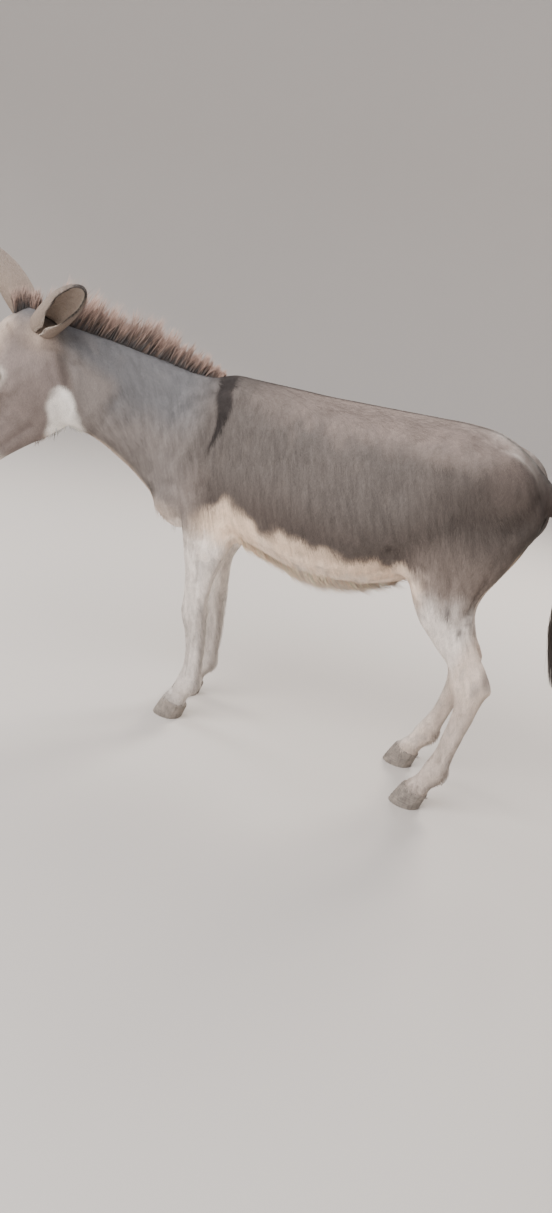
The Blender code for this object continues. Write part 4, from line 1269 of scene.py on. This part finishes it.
def earColour(share, turnShare, inside, seed):
    ragged = seed - 0.5
    edge = np.abs(turnShare)
    back = np.array(earTones["back"]) * (0.92 + 0.16 * seed)[:, None]
    # darker towards the middle of the cup and the root: partly its own skin, partly painted shade
    cupSkinAndShade = soft(0.62 - edge + ragged * 0.12, -0.05, 0.40) * (0.35 + 0.65 * (1 - soft(share, 0.55, 0.95)))
    cup = np.array(earTones["inside"]) * (1 - cupSkinAndShade)[:, None] + np.array(earTones["cupSkinAndShade"]) * cupSkinAndShade[:, None]
    colour = np.where(inside[:, None], cup, back)
    rim = soft(edge + ragged * 0.05, np.where(inside, 0.90, 0.955), np.where(inside, 0.955, 0.985))
    rim = rim * soft(share + ragged * 0.08, 0.22, 0.42)
    tip = soft(share + ragged * 0.05 + 0.05 * edge, 0.86, 0.96)
    dark = np.clip(np.maximum(rim, tip * 0.92), 0, 1)[:, None]
    return colour * (1 - dark) + np.array(earTones["rim"]) * dark


def makeEar(side):
    rows, columns = earPlan["rows"], earPlan["columns"]
    around = 2 * (columns - 1)
    k = np.arange(around)
    outer = k < columns
    turnShare = np.where(outer, -1 + 2 * k / (columns - 1), 1 - 2 * (k - (columns - 1)) / (columns - 1))
    face = np.where((k == 0) | (k == columns - 1), 0.0, np.where(outer, 1.0, -1.0))
    gridShare = np.repeat(np.linspace(-earPlan["root"], 1.0, rows), around)
    gridTurn = np.tile(turnShare, rows)
    gridFace = np.tile(face, rows)
    place, outward, _, _ = earFrame(side, gridShare, gridTurn)
    thick = earPlan["wall"] * (1 - np.abs(gridTurn) ** 5) ** 0.5 * (1.35 - 0.6 * np.clip(gridShare, 0, 1))
    thick = thick * np.clip((1.0 - gridShare) / 0.03, 0, 1) ** 0.5
    points = place + outward * (gridFace * thick)[:, None]
    inside = gridFace < 0
    ridge = np.exp(-(((np.abs(gridTurn) - 0.42) / 0.07) ** 2)) * np.sin(np.pi * np.clip(gridShare, 0, 1))
    points = points - outward * (ridge * inside * earPlan["ridge"])[:, None]
    faces, places = [], []
    for i in range(rows - 1):
        for j in range(around):
            a, b = i * around + j, i * around + (j + 1) % around
            faces += [(a, b, b + around), (a, b + around, a + around)]
            u0, u1 = 0.02 + 0.96 * j / around, 0.02 + 0.96 * (j + 1) / around
            v0, v1 = 0.02 + 0.96 * i / rows, 0.02 + 0.96 * (i + 1) / rows
            places += [(u0, v0), (u1, v0), (u1, v1), (u0, v0), (u1, v1), (u0, v1)]
    for row, v in ((0, 0.005), (rows - 1, 0.990)):  # closed at the root and at the tip
        start = row * around
        for j in range(1, around - 1):
            one, two = (j + 1, j) if row == 0 else (j, j + 1)
            faces.append((start, start + one, start + two))
            u = 0.02 + 0.9 * j / around
            places += [(u, v), (u + 0.01, v), (u, v + 0.004)]
    mesh = meshFrom("ear_%s_leaf" % side, points, np.array(faces))
    bake = mesh.uv_layers.new(name="OFBake")
    bake.data.foreach_set("uv", np.array(places, np.float32).ravel())
    pale = inside | (np.abs(gridTurn) > 0.97)
    paint(mesh, "coat", earColour(gridShare, gridTurn, pale, grain(points, 0.006, 71)) * 0.85)
    return addObject("ear_%s_leaf" % side, mesh)


def earUv(share, turnShare, inside):
    around = 2 * (earPlan["columns"] - 1)
    k = (turnShare + 1) / 2 * (earPlan["columns"] - 1)
    k = np.where(inside, around - k, k)
    row = (share + earPlan["root"]) / (1 + earPlan["root"])
    row = row * (earPlan["rows"] - 1) / earPlan["rows"]
    return np.stack([0.02 + 0.96 * k / around, 0.02 + 0.96 * row], axis=1)


earHair = {
    "fur": {"count": 9000, "inside": False, "length": 0.0105, "longer": 0.0, "ragged": 0.07,
            "width": 0.0019, "rings": 1, "curl": 0.10, "sink": 0.0004},
    "hair": {"count": 6500, "inside": True, "length": 0.010, "longer": 0.014, "ragged": 0.12,
             "width": 0.0019, "rings": 2, "curl": 0.10, "sink": 0.0004},
    "tufts": {"count": 520, "lift": 0.30, "width": 0.0017, "rings": 4, "curl": 0.16, "sink": 0.0004},
}


def makeEarHair(side, kind):  # short fur outside, longer pale hair inside
    plan = earHair[kind]
    share = dice.uniform(-0.16, 0.992, plan["count"])
    turnShare = dice.uniform(-0.985, 0.985, plan["count"])
    keep = dice.random(plan["count"]) < np.sin(np.pi * np.clip(0.16 + 0.84 * share, 0, 1)) ** 0.6
    share, turnShare = share[keep], turnShare[keep]
    count = len(share)
    place, outward, up, rimward = earFrame(side, share, turnShare)
    edge = np.abs(turnShare)
    inside = np.full(count, plan["inside"])
    colour = earColour(share, turnShare, inside, dice.random(count))
    normals = outward * (-1.0 if plan["inside"] else 1.0)
    roots = place + normals * (earPlan["wall"] * (1 - edge**5) ** 0.5)[:, None]
    ragged = dice.normal(0, plan["ragged"], (count, 3))
    if plan["inside"]:
        ways = up * 0.9 - rimward * (0.55 * soft(edge, 0.25, 0.95))[:, None] + ragged
        nearRim = soft(edge, 0.55, 0.92) * np.sin(np.pi * np.clip(share, 0, 1)) ** 0.5
        length = plan["length"] + plan["longer"] * nearRim
        length = length * (0.5 + 0.5 * np.clip((1.0 - share) / 0.25, 0, 1))
        lift = 0.16 + 0.22 * soft(edge, 0.5, 0.9)
    else:
        ways = up + rimward * (0.30 * soft(edge, 0.5, 1.0))[:, None] + ragged
        length = plan["length"] * (0.6 + 0.4 * np.clip((1.0 - share) / 0.2, 0, 1))
        lift = 0.07
    ways = unit(flattened(ways, normals))
    shape = shapeFrom(plan, length=length * dice.uniform(0.7, 1.2, count), lift=lift)
    uv = earUv(share, turnShare, inside)
    return lockPiece("ear_%s_%s" % (side, kind), roots, normals, ways, uv, shape, colour, tintOfCoat)


def makeEarTufts(side):  # long pale hair across the mouth of the ear
    plan = earHair["tufts"]
    count = plan["count"]
    share = dice.uniform(0.02, 0.74, count) ** 1.15
    turnShare = dice.choice([-1.0, 1.0], count) * dice.uniform(0.70, 0.94, count)
    place, outward, up, rimward = earFrame(side, share, turnShare)
    normals = -outward
    ways = unit(up * 0.75 - rimward * 0.95 + dice.normal(0, 0.16, (count, 3)))
    ways = unit(flattened(ways, normals))
    shape = shapeFrom(plan, length=dice.uniform(0.018, 0.036, count) * (1.1 - 0.5 * share))
    base = np.tile(np.array(earTones["hair"]), (count, 1))
    uv = earUv(share, turnShare, np.full(count, True))
    return lockPiece("ear_%s_tufts" % side, place, normals, ways, uv, shape, base, tintOfCoat)


earPieces = {}
for side in sides:
    earPieces[side] = [makeEar(side)] + [makeEarHair(side, kind) for kind in ("fur", "hair")]
    earPieces[side].append(makeEarTufts(side))

# eyes: a ball with a bulging cornea, dark iris and lying oval pupil
eyeBall = {"radius": 0.0186, "iris": 0.0102, "bulge": 0.0011, "rings": 40, "around": 64}


def makeEye(side):
    rings, around = eyeBall["rings"], eyeBall["around"]
    points = [(0.0, 0.0, 1.0)]
    for ring in range(1, rings):
        tilt = math.pi * (ring / rings) ** 1.25
        for k in range(around):
            turn = 2 * math.pi * k / around
            points.append((math.sin(tilt) * math.cos(turn), math.sin(tilt) * math.sin(turn), math.cos(tilt)))
    points.append((0.0, 0.0, -1.0))
    ball = np.array(points)
    bulge = eyeBall["bulge"] * (1 - soft(np.arccos(np.clip(ball[:, 2], -1, 1)), 0.30, 0.72))
    ball = ball * (eyeBall["radius"] + bulge)[:, None]
    faces = ringFaces(rings - 1, around)
    if sides[side] == -1:
        faces = faces[:, [0, 2, 1]]
    mesh = meshFrom("eye_%s_ball" % side, ball @ eyeAxes(side) + eyePlace(side), faces)
    setAttribute(mesh, "gaze", "FLOAT_VECTOR", "vector", ball / eyeBall["radius"])
    return addObject("eye_%s_ball" % side, mesh)


eyes = {side: makeEye(side) for side in sides}

lashPlan = {
    "count": 110,
    "upper": 80,
    "length": (0.0125, 0.0070),  # above, below
    "lift": (0.10, 0.05),
    "width": 0.0006,
    "rings": 3,
    "curl": 0.05,
    "sink": 0.0006,
    "tone": (0.030, 0.024, 0.021),
}


def makeLashes(side):
    plan = lashPlan
    axes = eyeAxes(side)
    count = plan["count"]
    zero = np.zeros(count)
    across = dice.uniform(-0.85, 0.90, count)
    upper = np.arange(count) < plan["upper"]
    half = np.where(across > 0, eyeShape["frontCorner"], eyeShape["backCorner"])
    tall = np.where(upper, eyeShape["upper"], -eyeShape["lower"])
    x = across * half
    y = np.sqrt(np.clip(1 - across**2, 0, 1)) * tall * 1.06
    radius = eyeShape["radius"] + eyeShape["lid"] * 0.62
    z = np.sqrt(np.clip(radius**2 - x**2 - y**2, 0, None))
    spread = np.stack([across * 0.55, np.where(upper, 0.25, -0.55), zero + 0.9], axis=1)
    ways = unit(spread + dice.normal(0, 0.07, (count, 3)))
    roots = np.stack([x, y, z], axis=1) @ axes + eyePlace(side)
    rise = np.stack([zero, np.where(upper, 1.0, -1.0), zero], axis=1)
    rise = unit(flattened(rise, ways)) @ axes
    length = np.where(upper, *plan["length"]) * dice.uniform(0.75, 1.15, count)
    shape = shapeFrom(plan, length=length, lift=np.where(upper, *plan["lift"]))
    base = np.tile(np.array(plan["tone"]), (count, 1))
    uv = np.stack([0.5 + across * 0.4, np.where(upper, 0.7, 0.3)], axis=1)
    return lockPiece("lashes_" + side, roots, rise, ways @ axes, uv, shape, base, tintOfCoat)


lashes = {side: makeLashes(side) for side in sides}

# hooves: horn wall with growth rings over a flat sole, running up into the coat
hoofPlan = {
    "long": 0.104,
    "wide": 0.082,
    "top": (0.012, 0.053),  # where the coronet plane passes, ahead of the middle and above the floor
    "slope": 0.28,
    "lean": 0.021,
    "heel": 0.86,
    "heelGroove": 0.0035,
    "growth": 0.0005,
    "levels": (0.0, 0.10, 0.55, 0.94, 1.0),
    "sizes": (1.0, 0.985, 0.90, 0.83, 0.81),
    "rings": 34,
    "around": 72,
    "front": (-0.412, 0.102),
    "hind": (0.408, 0.126),
}


def makeHoof(end, side):
    plan = hoofPlan
    around = plan["around"]
    x0, y0 = plan[end]
    x0, y0 = x0 + stance[end][side], y0 * (-1 if side == "left" else 1)
    turn = 2 * np.pi * np.arange(around) / around
    ahead = np.cos(turn)
    heel = 1 - (1 - plan["heel"]) * soft(-ahead, 0.45, 0.62)
    rows = []
    for level in np.linspace(0, 1, plan["rings"]):
        size = np.interp(level, plan["levels"], plan["sizes"])
        growth = plan["growth"] * math.sin(level * 44 + 0.6 * math.sin(level * 9)) * min(1, level * 10)
        split = plan["heelGroove"] * np.exp(-(((turn - np.pi) / 0.20) ** 2))
        x = x0 + plan["lean"] * level - (plan["long"] / 2 * size * heel + growth - split) * ahead
        y = y0 + (plan["wide"] / 2 * size + growth) * np.sin(turn)
        top = plan["top"][1] - (x - x0 - plan["top"][0]) * plan["slope"]
        rows.append(np.stack([x, y, level * (top + 0.002)], axis=1))
    middle = rows[-1].mean(axis=0)
    rows.append(middle + (rows[-1] - middle) * 0.80 + (0, 0, 0.003))
    sole = np.array([[x0, y0, 0.0]])
    points = np.concatenate([sole] + rows + [middle[None] + (0, 0, 0.004)])
    faces = ringFaces(len(rows), around)[:, ::-1]
    name = "hoof_%s_%s_horn" % (end, side)
    mesh = meshFrom(name, at(points), faces)
    level = np.repeat(np.linspace(0, 1, plan["rings"]), around)
    level = np.concatenate([[0.0], level, np.ones(around + 1)])
    setAttribute(mesh, "level", "FLOAT", "value", level)
    return addObject(name, mesh)


hooves = {(end, side): makeHoof(end, side) for end in ("front", "hind") for side in sides}

whiskerPlan = {"spacing": 0.0085, "width": 0.0005, "lift": 0.12, "rings": 3, "curl": 0.10, "sink": 0.0006,
               "tone": (0.28, 0.25, 0.22)}


def makeWhiskers():  # on the muzzle and the lips
    part = regions(hideSurface["middle"])
    head = part["head"]
    where = (head[:, 0] > 0.44) & (head[:, 2] < -0.075) & (part["face"] > 0.5)
    roots, normals, uv = scatter(hideSurface, where * 1.0, whiskerPlan["spacing"])
    local = inHead(roots)
    zero = np.zeros(len(roots))
    ways = np.stack([0.5 + zero, local[:, 1] * 6, -0.45 + zero], axis=1) @ headRows
    ways = unit(normals * 0.9 + ways * 0.5 + dice.normal(0, 0.22, roots.shape))
    rise = unit(np.cross(ways, np.cross(np.array([0.0, 0.0, -1.0]), ways)))
    shape = shapeFrom(whiskerPlan, length=dice.uniform(0.010, 0.030, len(roots)))
    base = np.tile(np.array(whiskerPlan["tone"]), (len(roots), 1))
    return lockPiece("whiskers", roots, rise, ways, uv, shape, base, tintOfCoat)


whiskers = makeWhiskers()

feetPlan = {"spacing": 0.0042, "length": (0.016, 0.026), "width": 0.0018, "lift": (0.26, 0.10), "rings": 2,
            "curl": 0.12, "sink": 0.0006, "follow": 0.45}


def makeFeetHair():  # coarse, over the coronets and up behind the fetlocks and front cannons
    plan = feetPlan
    x, _, z = (hideSurface["middle"] - home).T
    facingBack = hideSurface["normals"].mean(axis=1)[:, 0]
    coronet = (z < 0.085) & (z > 0.035)
    fetlock = (facingBack > 0.35) & (z > 0.075) & (z < 0.150)
    cannon = (facingBack > 0.45) & (z >= 0.150) & (z < 0.40) & (x < 0)
    where = coronet * 1.0 + fetlock * 0.8 + cannon * 0.45
    roots, normals, uv = scatter(hideSurface, where, plan["spacing"])
    ways = np.tile(np.array([0.10, 0.0, -1.0]), (len(roots), 1))
    tall = roots[:, 2] - home[2]
    ways[:, 0] += 0.5 * soft(tall, 0.075, 0.11)
    ways = unit(flattened(ways, normals))
    short, long = plan["length"]
    shape = shapeFrom(
        plan,
        length=short + (long - short) * dice.random(len(roots)),
        lift=np.where(tall > 0.11, *plan["lift"]),
    )
    return lockPiece("feet_hair", roots, normals, ways, uv, shape, coatColour(roots, normals), tintOfCoat)


feetHair = makeFeetHair()

# materials: hair and hide take their markings from the painted colour
hairFinish = {
    "coat": {"rough": 0.80, "gloss": 0.04, "sheen": 0.0, "root": 0.80, "tip": 1.12, "vary": 0.22},
    "ear_coat": {"rough": 0.66, "gloss": 0.28, "sheen": 0.10, "root": 0.82, "tip": 1.12, "vary": 0.20},
    "mane_hair": {"rough": 0.50, "gloss": 0.40, "sheen": 0.06, "root": 0.90, "tip": 1.10, "vary": 0.30},
    "tail_hair": {"rough": 0.50, "gloss": 0.40, "sheen": 0.05, "root": 0.90, "tip": 1.10, "vary": 0.30},
}


strandNoise = {"X": 1.6, "Y": 0.8, "Z": 911.0}  # across a lock, along it, from lock to lock
hideGrain = {"stretch": (420.0, 420.0, 110.0), "bump": 0.35, "height": 0.0012, "gloss": 0.06}
hornTones = {"low": (0.100, 0.086, 0.076), "high": (0.215, 0.190, 0.168), "dust": (0.285, 0.248, 0.215)}
eyeTones = {
    "iris": ((0.014, 0.007, 0.004), (0.040, 0.020, 0.010)),
    "white": ((0.030, 0.020, 0.016), (0.070, 0.050, 0.042)),
    "pupil": (0.004, 0.004, 0.005),
}


def newMaterial(name):
    material = bpy.data.materials.new(name)
    material.use_nodes = True
    return material, material.node_tree


def addNode(tree, kind, sockets=None, **settings):  # a socket takes a number or another node's output
    node = tree.nodes.new("ShaderNode" + kind)
    for key, value in settings.items():
        setattr(node, key, value)
    for key, value in (sockets or {}).items():
        if isinstance(value, bpy.types.NodeSocket):
            tree.links.new(value, node.inputs[key])
        else:
            node.inputs[key].default_value = value
    return node


def attribute(tree, name, output):
    return addNode(tree, "Attribute", attribute_name=name).outputs[output]


def mathNode(tree, operation, first, second=0.0):
    return addNode(tree, "Math", {0: first, 1: second}, operation=operation).outputs[0]


def rangeNode(tree, value, low, high, toLow, toHigh):
    ends = {"From Min": low, "From Max": high, "To Min": toLow, "To Max": toHigh}
    return addNode(tree, "MapRange", {"Value": value, **ends}).outputs["Result"]


def scaledColour(tree, colour, factor):
    return addNode(tree, "VectorMath", {0: colour, "Scale": factor}, operation="SCALE").outputs[0]


def colourMix(tree, factor, first, second):
    node = addNode(tree, "Mix", {0: factor}, data_type="RGBA")
    colours = [socket for socket in node.inputs if socket.type == "RGBA"]
    for socket, value in zip(colours, (first, second)):
        if isinstance(value, tuple):
            socket.default_value = (*value, 1.0)
        else:
            tree.links.new(value, socket)
    return [socket for socket in node.outputs if socket.type == "RGBA"][0]


def noiseAt(tree, place, scale, detail, output="Fac"):
    return addNode(tree, "TexNoise", {"Vector": place, "Scale": scale, "Detail": detail}).outputs[output]


def stretchedNoise(tree, place, stretch, detail):
    mapped = addNode(tree, "Mapping", {"Vector": place, "Scale": stretch}).outputs[0]
    return noiseAt(tree, mapped, 1.0, detail)


def finishShader(tree, colour, values, height=None, strength=0.0, distance=0.0):
    shader = tree.nodes["Principled BSDF"]
    tree.links.new(colour, shader.inputs["Base Color"])
    if height is not None:
        bump = addNode(tree, "Bump", {"Height": height, "Strength": strength, "Distance": distance})
        tree.links.new(bump.outputs[0], shader.inputs["Normal"])
    for name, value in values.items():
        shader.inputs[name].default_value = value


def hairMaterial(slot):
    finish = hairFinish[slot]
    material, tree = newMaterial(slot.replace("_", " ") + " hair")
    split = addNode(tree, "SeparateXYZ", {0: attribute(tree, "strand", "Vector")}).outputs
    along = rangeNode(tree, split["Y"], 0.0, 1.0, finish["root"], finish["tip"])
    place = {axis: mathNode(tree, "MULTIPLY", split[axis], factor) for axis, factor in strandNoise.items()}
    noise = noiseAt(tree, addNode(tree, "CombineXYZ", place).outputs[0], 3.2, 1.0)
    hairs = rangeNode(tree, noise, 0.3, 0.7, 1 - finish["vary"], 1 + finish["vary"])
    factor = mathNode(tree, "MULTIPLY", along, hairs)
    finishShader(tree, scaledColour(tree, attribute(tree, "coat", "Color"), factor), {
        "Roughness": finish["rough"],
        "Specular IOR Level": finish["gloss"],
        "Sheen Weight": finish["sheen"],
        "Sheen Roughness": 0.5,
    })
    return material


def hideMaterial(name, rough):
    material, tree = newMaterial(name)
    place = addNode(tree, "TexCoord").outputs["Object"]
    fine = stretchedNoise(tree, place, hideGrain["stretch"], 3.0)
    factor = rangeNode(tree, fine, 0.25, 0.75, 0.80, 1.16)
    colour = scaledColour(tree, attribute(tree, "coat", "Color"), factor)
    values = {"Roughness": rough, "Specular IOR Level": hideGrain["gloss"]}
    finishShader(tree, colour, values, fine, hideGrain["bump"], hideGrain["height"])
    return material


def hornMaterial():
    material, tree = newMaterial("hoof horn")
    place = addNode(tree, "TexCoord").outputs["Object"]
    streak = stretchedNoise(tree, place, (160.0, 160.0, 26.0), 4.0)
    dirt = noiseAt(tree, place, 55.0, 5.0)
    bands = mathNode(tree, "SINE", mathNode(tree, "MULTIPLY", attribute(tree, "level", "Fac"), 60.0))
    base = colourMix(tree, rangeNode(tree, streak, 0.3, 0.7, 0.0, 1.0), hornTones["low"], hornTones["high"])
    dusty = colourMix(tree, rangeNode(tree, dirt, 0.40, 0.68, 0.10, 0.85), base, hornTones["dust"])
    colour = scaledColour(tree, dusty, rangeNode(tree, bands, -1.0, 1.0, 0.93, 1.06))
    height = mathNode(tree, "ADD", mathNode(tree, "MULTIPLY", bands, 0.25), streak)
    finishShader(tree, colour, {"Roughness": 0.72, "Specular IOR Level": 0.35}, height, 0.4, 0.001)
    return material


def eyeMaterial():
    material, tree = newMaterial("eye")
    gaze = attribute(tree, "gaze", "Vector")
    split = addNode(tree, "SeparateXYZ", {0: gaze}).outputs

    def squared(value, size):
        share = mathNode(tree, "ABSOLUTE", mathNode(tree, "DIVIDE", value, size))
        return mathNode(tree, "POWER", share, 2.0)

    def oval(wide, tall):
        total = mathNode(tree, "ADD", squared(split["X"], wide), squared(split["Y"], tall))
        return mathNode(tree, "SQRT", total)

    mottle = noiseAt(tree, gaze, 14.0, 4.0)
    brown = colourMix(tree, mottle, *eyeTones["iris"])
    white = colourMix(tree, mottle, *eyeTones["white"])
    colour = colourMix(tree, rangeNode(tree, oval(0.66, 0.62), 0.93, 1.07, 0.0, 1.0), brown, white)
    dark = rangeNode(tree, oval(0.34, 0.19), 0.88, 1.10, 1.0, 0.0)
    front = rangeNode(tree, split["Z"], 0.0, 0.05, 0.0, 1.0)
    colour = colourMix(tree, mathNode(tree, "MULTIPLY", dark, front), colour, eyeTones["pupil"])
    finishShader(tree, colour, {
        "Roughness": 0.12,
        "Specular IOR Level": 0.1,
        "Coat Weight": 1.0,
        "Coat IOR": 1.37,
        "Coat Roughness": 0.03,
    })
    return material


hairMaterials = {slot: hairMaterial(slot) for slot in hairFinish}
hideFinish = hideMaterial("hide", 0.60)
earFinish = hideMaterial("ear hide", 0.62)
hornFinish = hornMaterial()
eyeFinish = eyeMaterial()


def dress(piece, finish, slot, *nodes):
    piece.data.materials.append(finish)
    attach(piece, "root")
    if nodes:
        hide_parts(*nodes)


fleshParts = ("head", "neck", "trunk", "leg")
flesh = [name for name in frame["nodes"] if name == "tail" or name.split("_")[0] in fleshParts]
dress(skin, hideFinish, "coat", *flesh)
for piece in coatPieces + [fringe, feetHair, whiskers, lashes["left"], lashes["right"]]:
    dress(piece, hairMaterials["coat"], "coat")
dress(mane, hairMaterials["mane_hair"], "mane_hair", "mane")
dress(forelock, hairMaterials["mane_hair"], "mane_hair", "forelock")
dress(tailHair, hairMaterials["tail_hair"], "tail_hair", "tail_switch")
for side in sides:
    leaf, *furs = earPieces[side]
    dress(leaf, earFinish, "ear_coat", "ear_" + side)
    for piece in furs:
        dress(piece, hairMaterials["ear_coat"], "ear_coat")
    dress(eyes[side], eyeFinish, "eye", "eye_" + side)
for (end, side), piece in hooves.items():
    dress(piece, hornFinish, "hoof_horn", "hoof_%s_%s" % (end, side))
print("pieces dressed")

# a pale floor that rises far off into a plain wall
stagePlan = {"flat": (0.02, 1.5, 3.0, 5.0), "bend": 2.6, "steps": 16, "wall": 3.2, "around": 96,
             "tone": (0.52, 0.490, 0.462), "drop": 0.0004}


def makeStage():
    plan = stagePlan
    profile = [(reach, 0.0) for reach in plan["flat"]]
    for step in range(1, plan["steps"] + 1):
        turn = math.pi / 2 * step / plan["steps"]
        reach = plan["flat"][-1] + plan["bend"] * math.sin(turn)
        profile.append((reach, plan["bend"] * (1 - math.cos(turn))))
    profile.append((profile[-1][0], profile[-1][1] + plan["wall"]))
    points = [(0.0, 0.0, 0.0)]
    for reach, height in profile:
        for k in range(plan["around"]):
            turn = 2 * math.pi * k / plan["around"]
            points.append((reach * math.cos(turn), reach * math.sin(turn), height))
    faces = ringFaces(len(profile), plan["around"], closed=False)
    mesh = meshFrom("floor", np.array(points) - (0, 0, plan["drop"]), faces)
    floor = addObject("floor", mesh)
    material, tree = newMaterial("floor")
    shader = tree.nodes["Principled BSDF"]
    shader.inputs["Base Color"].default_value = (*plan["tone"], 1.0)
    shader.inputs["Roughness"].default_value = 0.95
    shader.inputs["Specular IOR Level"].default_value = 0.1
    mesh.materials.append(material)


makeStage()

lamps = {  # place, what it faces, size, watts, colour
    "sky_lamp": ((-1.2, -3.6, 4.2), (0.0, 0.0, 0.7), 4.5, 375, (1.0, 0.97, 0.95)),
    "back_lamp": ((0.7, 3.7, 3.2), (0.0, 0.0, 0.9), 1.6, 250, (1.0, 0.93, 0.85)),
    "low_lamp": ((-0.8, -3.6, 0.55), (0.0, 0.0, 0.58), 1.4, 24, (1.0, 0.95, 0.90)),
    "front_lamp": ((-4.0, 0.6, 2.4), (-0.6, 0.0, 0.9), 2.0, 90, (1.0, 0.96, 0.92)),
}
studioSky = {"tone": (0.93, 0.94, 1.0, 1.0), "strength": 0.95}


def makeLamps():
    for name, (place, faces, size, watts, tone) in lamps.items():
        light = bpy.data.lights.new(name, "AREA")
        light.shape = "DISK"
        light.size = size
        light.energy = watts
        light.color = tone
        holder = bpy.data.objects.new(name, light)
        bpy.context.collection.objects.link(holder)
        holder.location = Vector(at(place))
        holder.rotation_euler = Vector(at(faces) - at(place)).to_track_quat("-Z", "Y").to_euler()
    world = bpy.data.worlds.new("studio")
    world.use_nodes = True
    background = world.node_tree.nodes["Background"]
    background.inputs["Color"].default_value = studioSky["tone"]
    background.inputs["Strength"].default_value = studioSky["strength"]
    bpy.context.scene.world = world


makeLamps()

cameraPlan = {  # what it looks at, how far off, degrees round and above, roll, lens in mm
    "aim": (-0.1523, 0.0, 0.4226),
    "distance": 3.1196,
    "round": 20.0,
    "above": 17.766,
    "roll": 10.777,
    "lens": 29.68,
}


def makeCamera():
    plan = cameraPlan
    turn, rise, roll = (math.radians(plan[key]) for key in ("round", "above", "roll"))
    back = np.array((math.sin(turn) * math.cos(rise), -math.cos(turn) * math.cos(rise), math.sin(rise)))
    level = np.array((math.cos(turn), math.sin(turn), 0.0))
    up = np.cross(back, level)
    right = math.cos(roll) * level + math.sin(roll) * up
    top = -math.sin(roll) * level + math.cos(roll) * up
    camera = bpy.data.cameras.new("camera")
    camera.lens = plan["lens"]
    camera.clip_end = 50
    holder = bpy.data.objects.new("camera", camera)
    bpy.context.collection.objects.link(holder)
    place = at(plan["aim"]) + back * plan["distance"]
    rows = [[right[k], top[k], back[k], place[k]] for k in range(3)] + [[0, 0, 0, 1]]
    holder.matrix_world = Matrix(rows)
    bpy.context.scene.camera = holder


makeCamera()
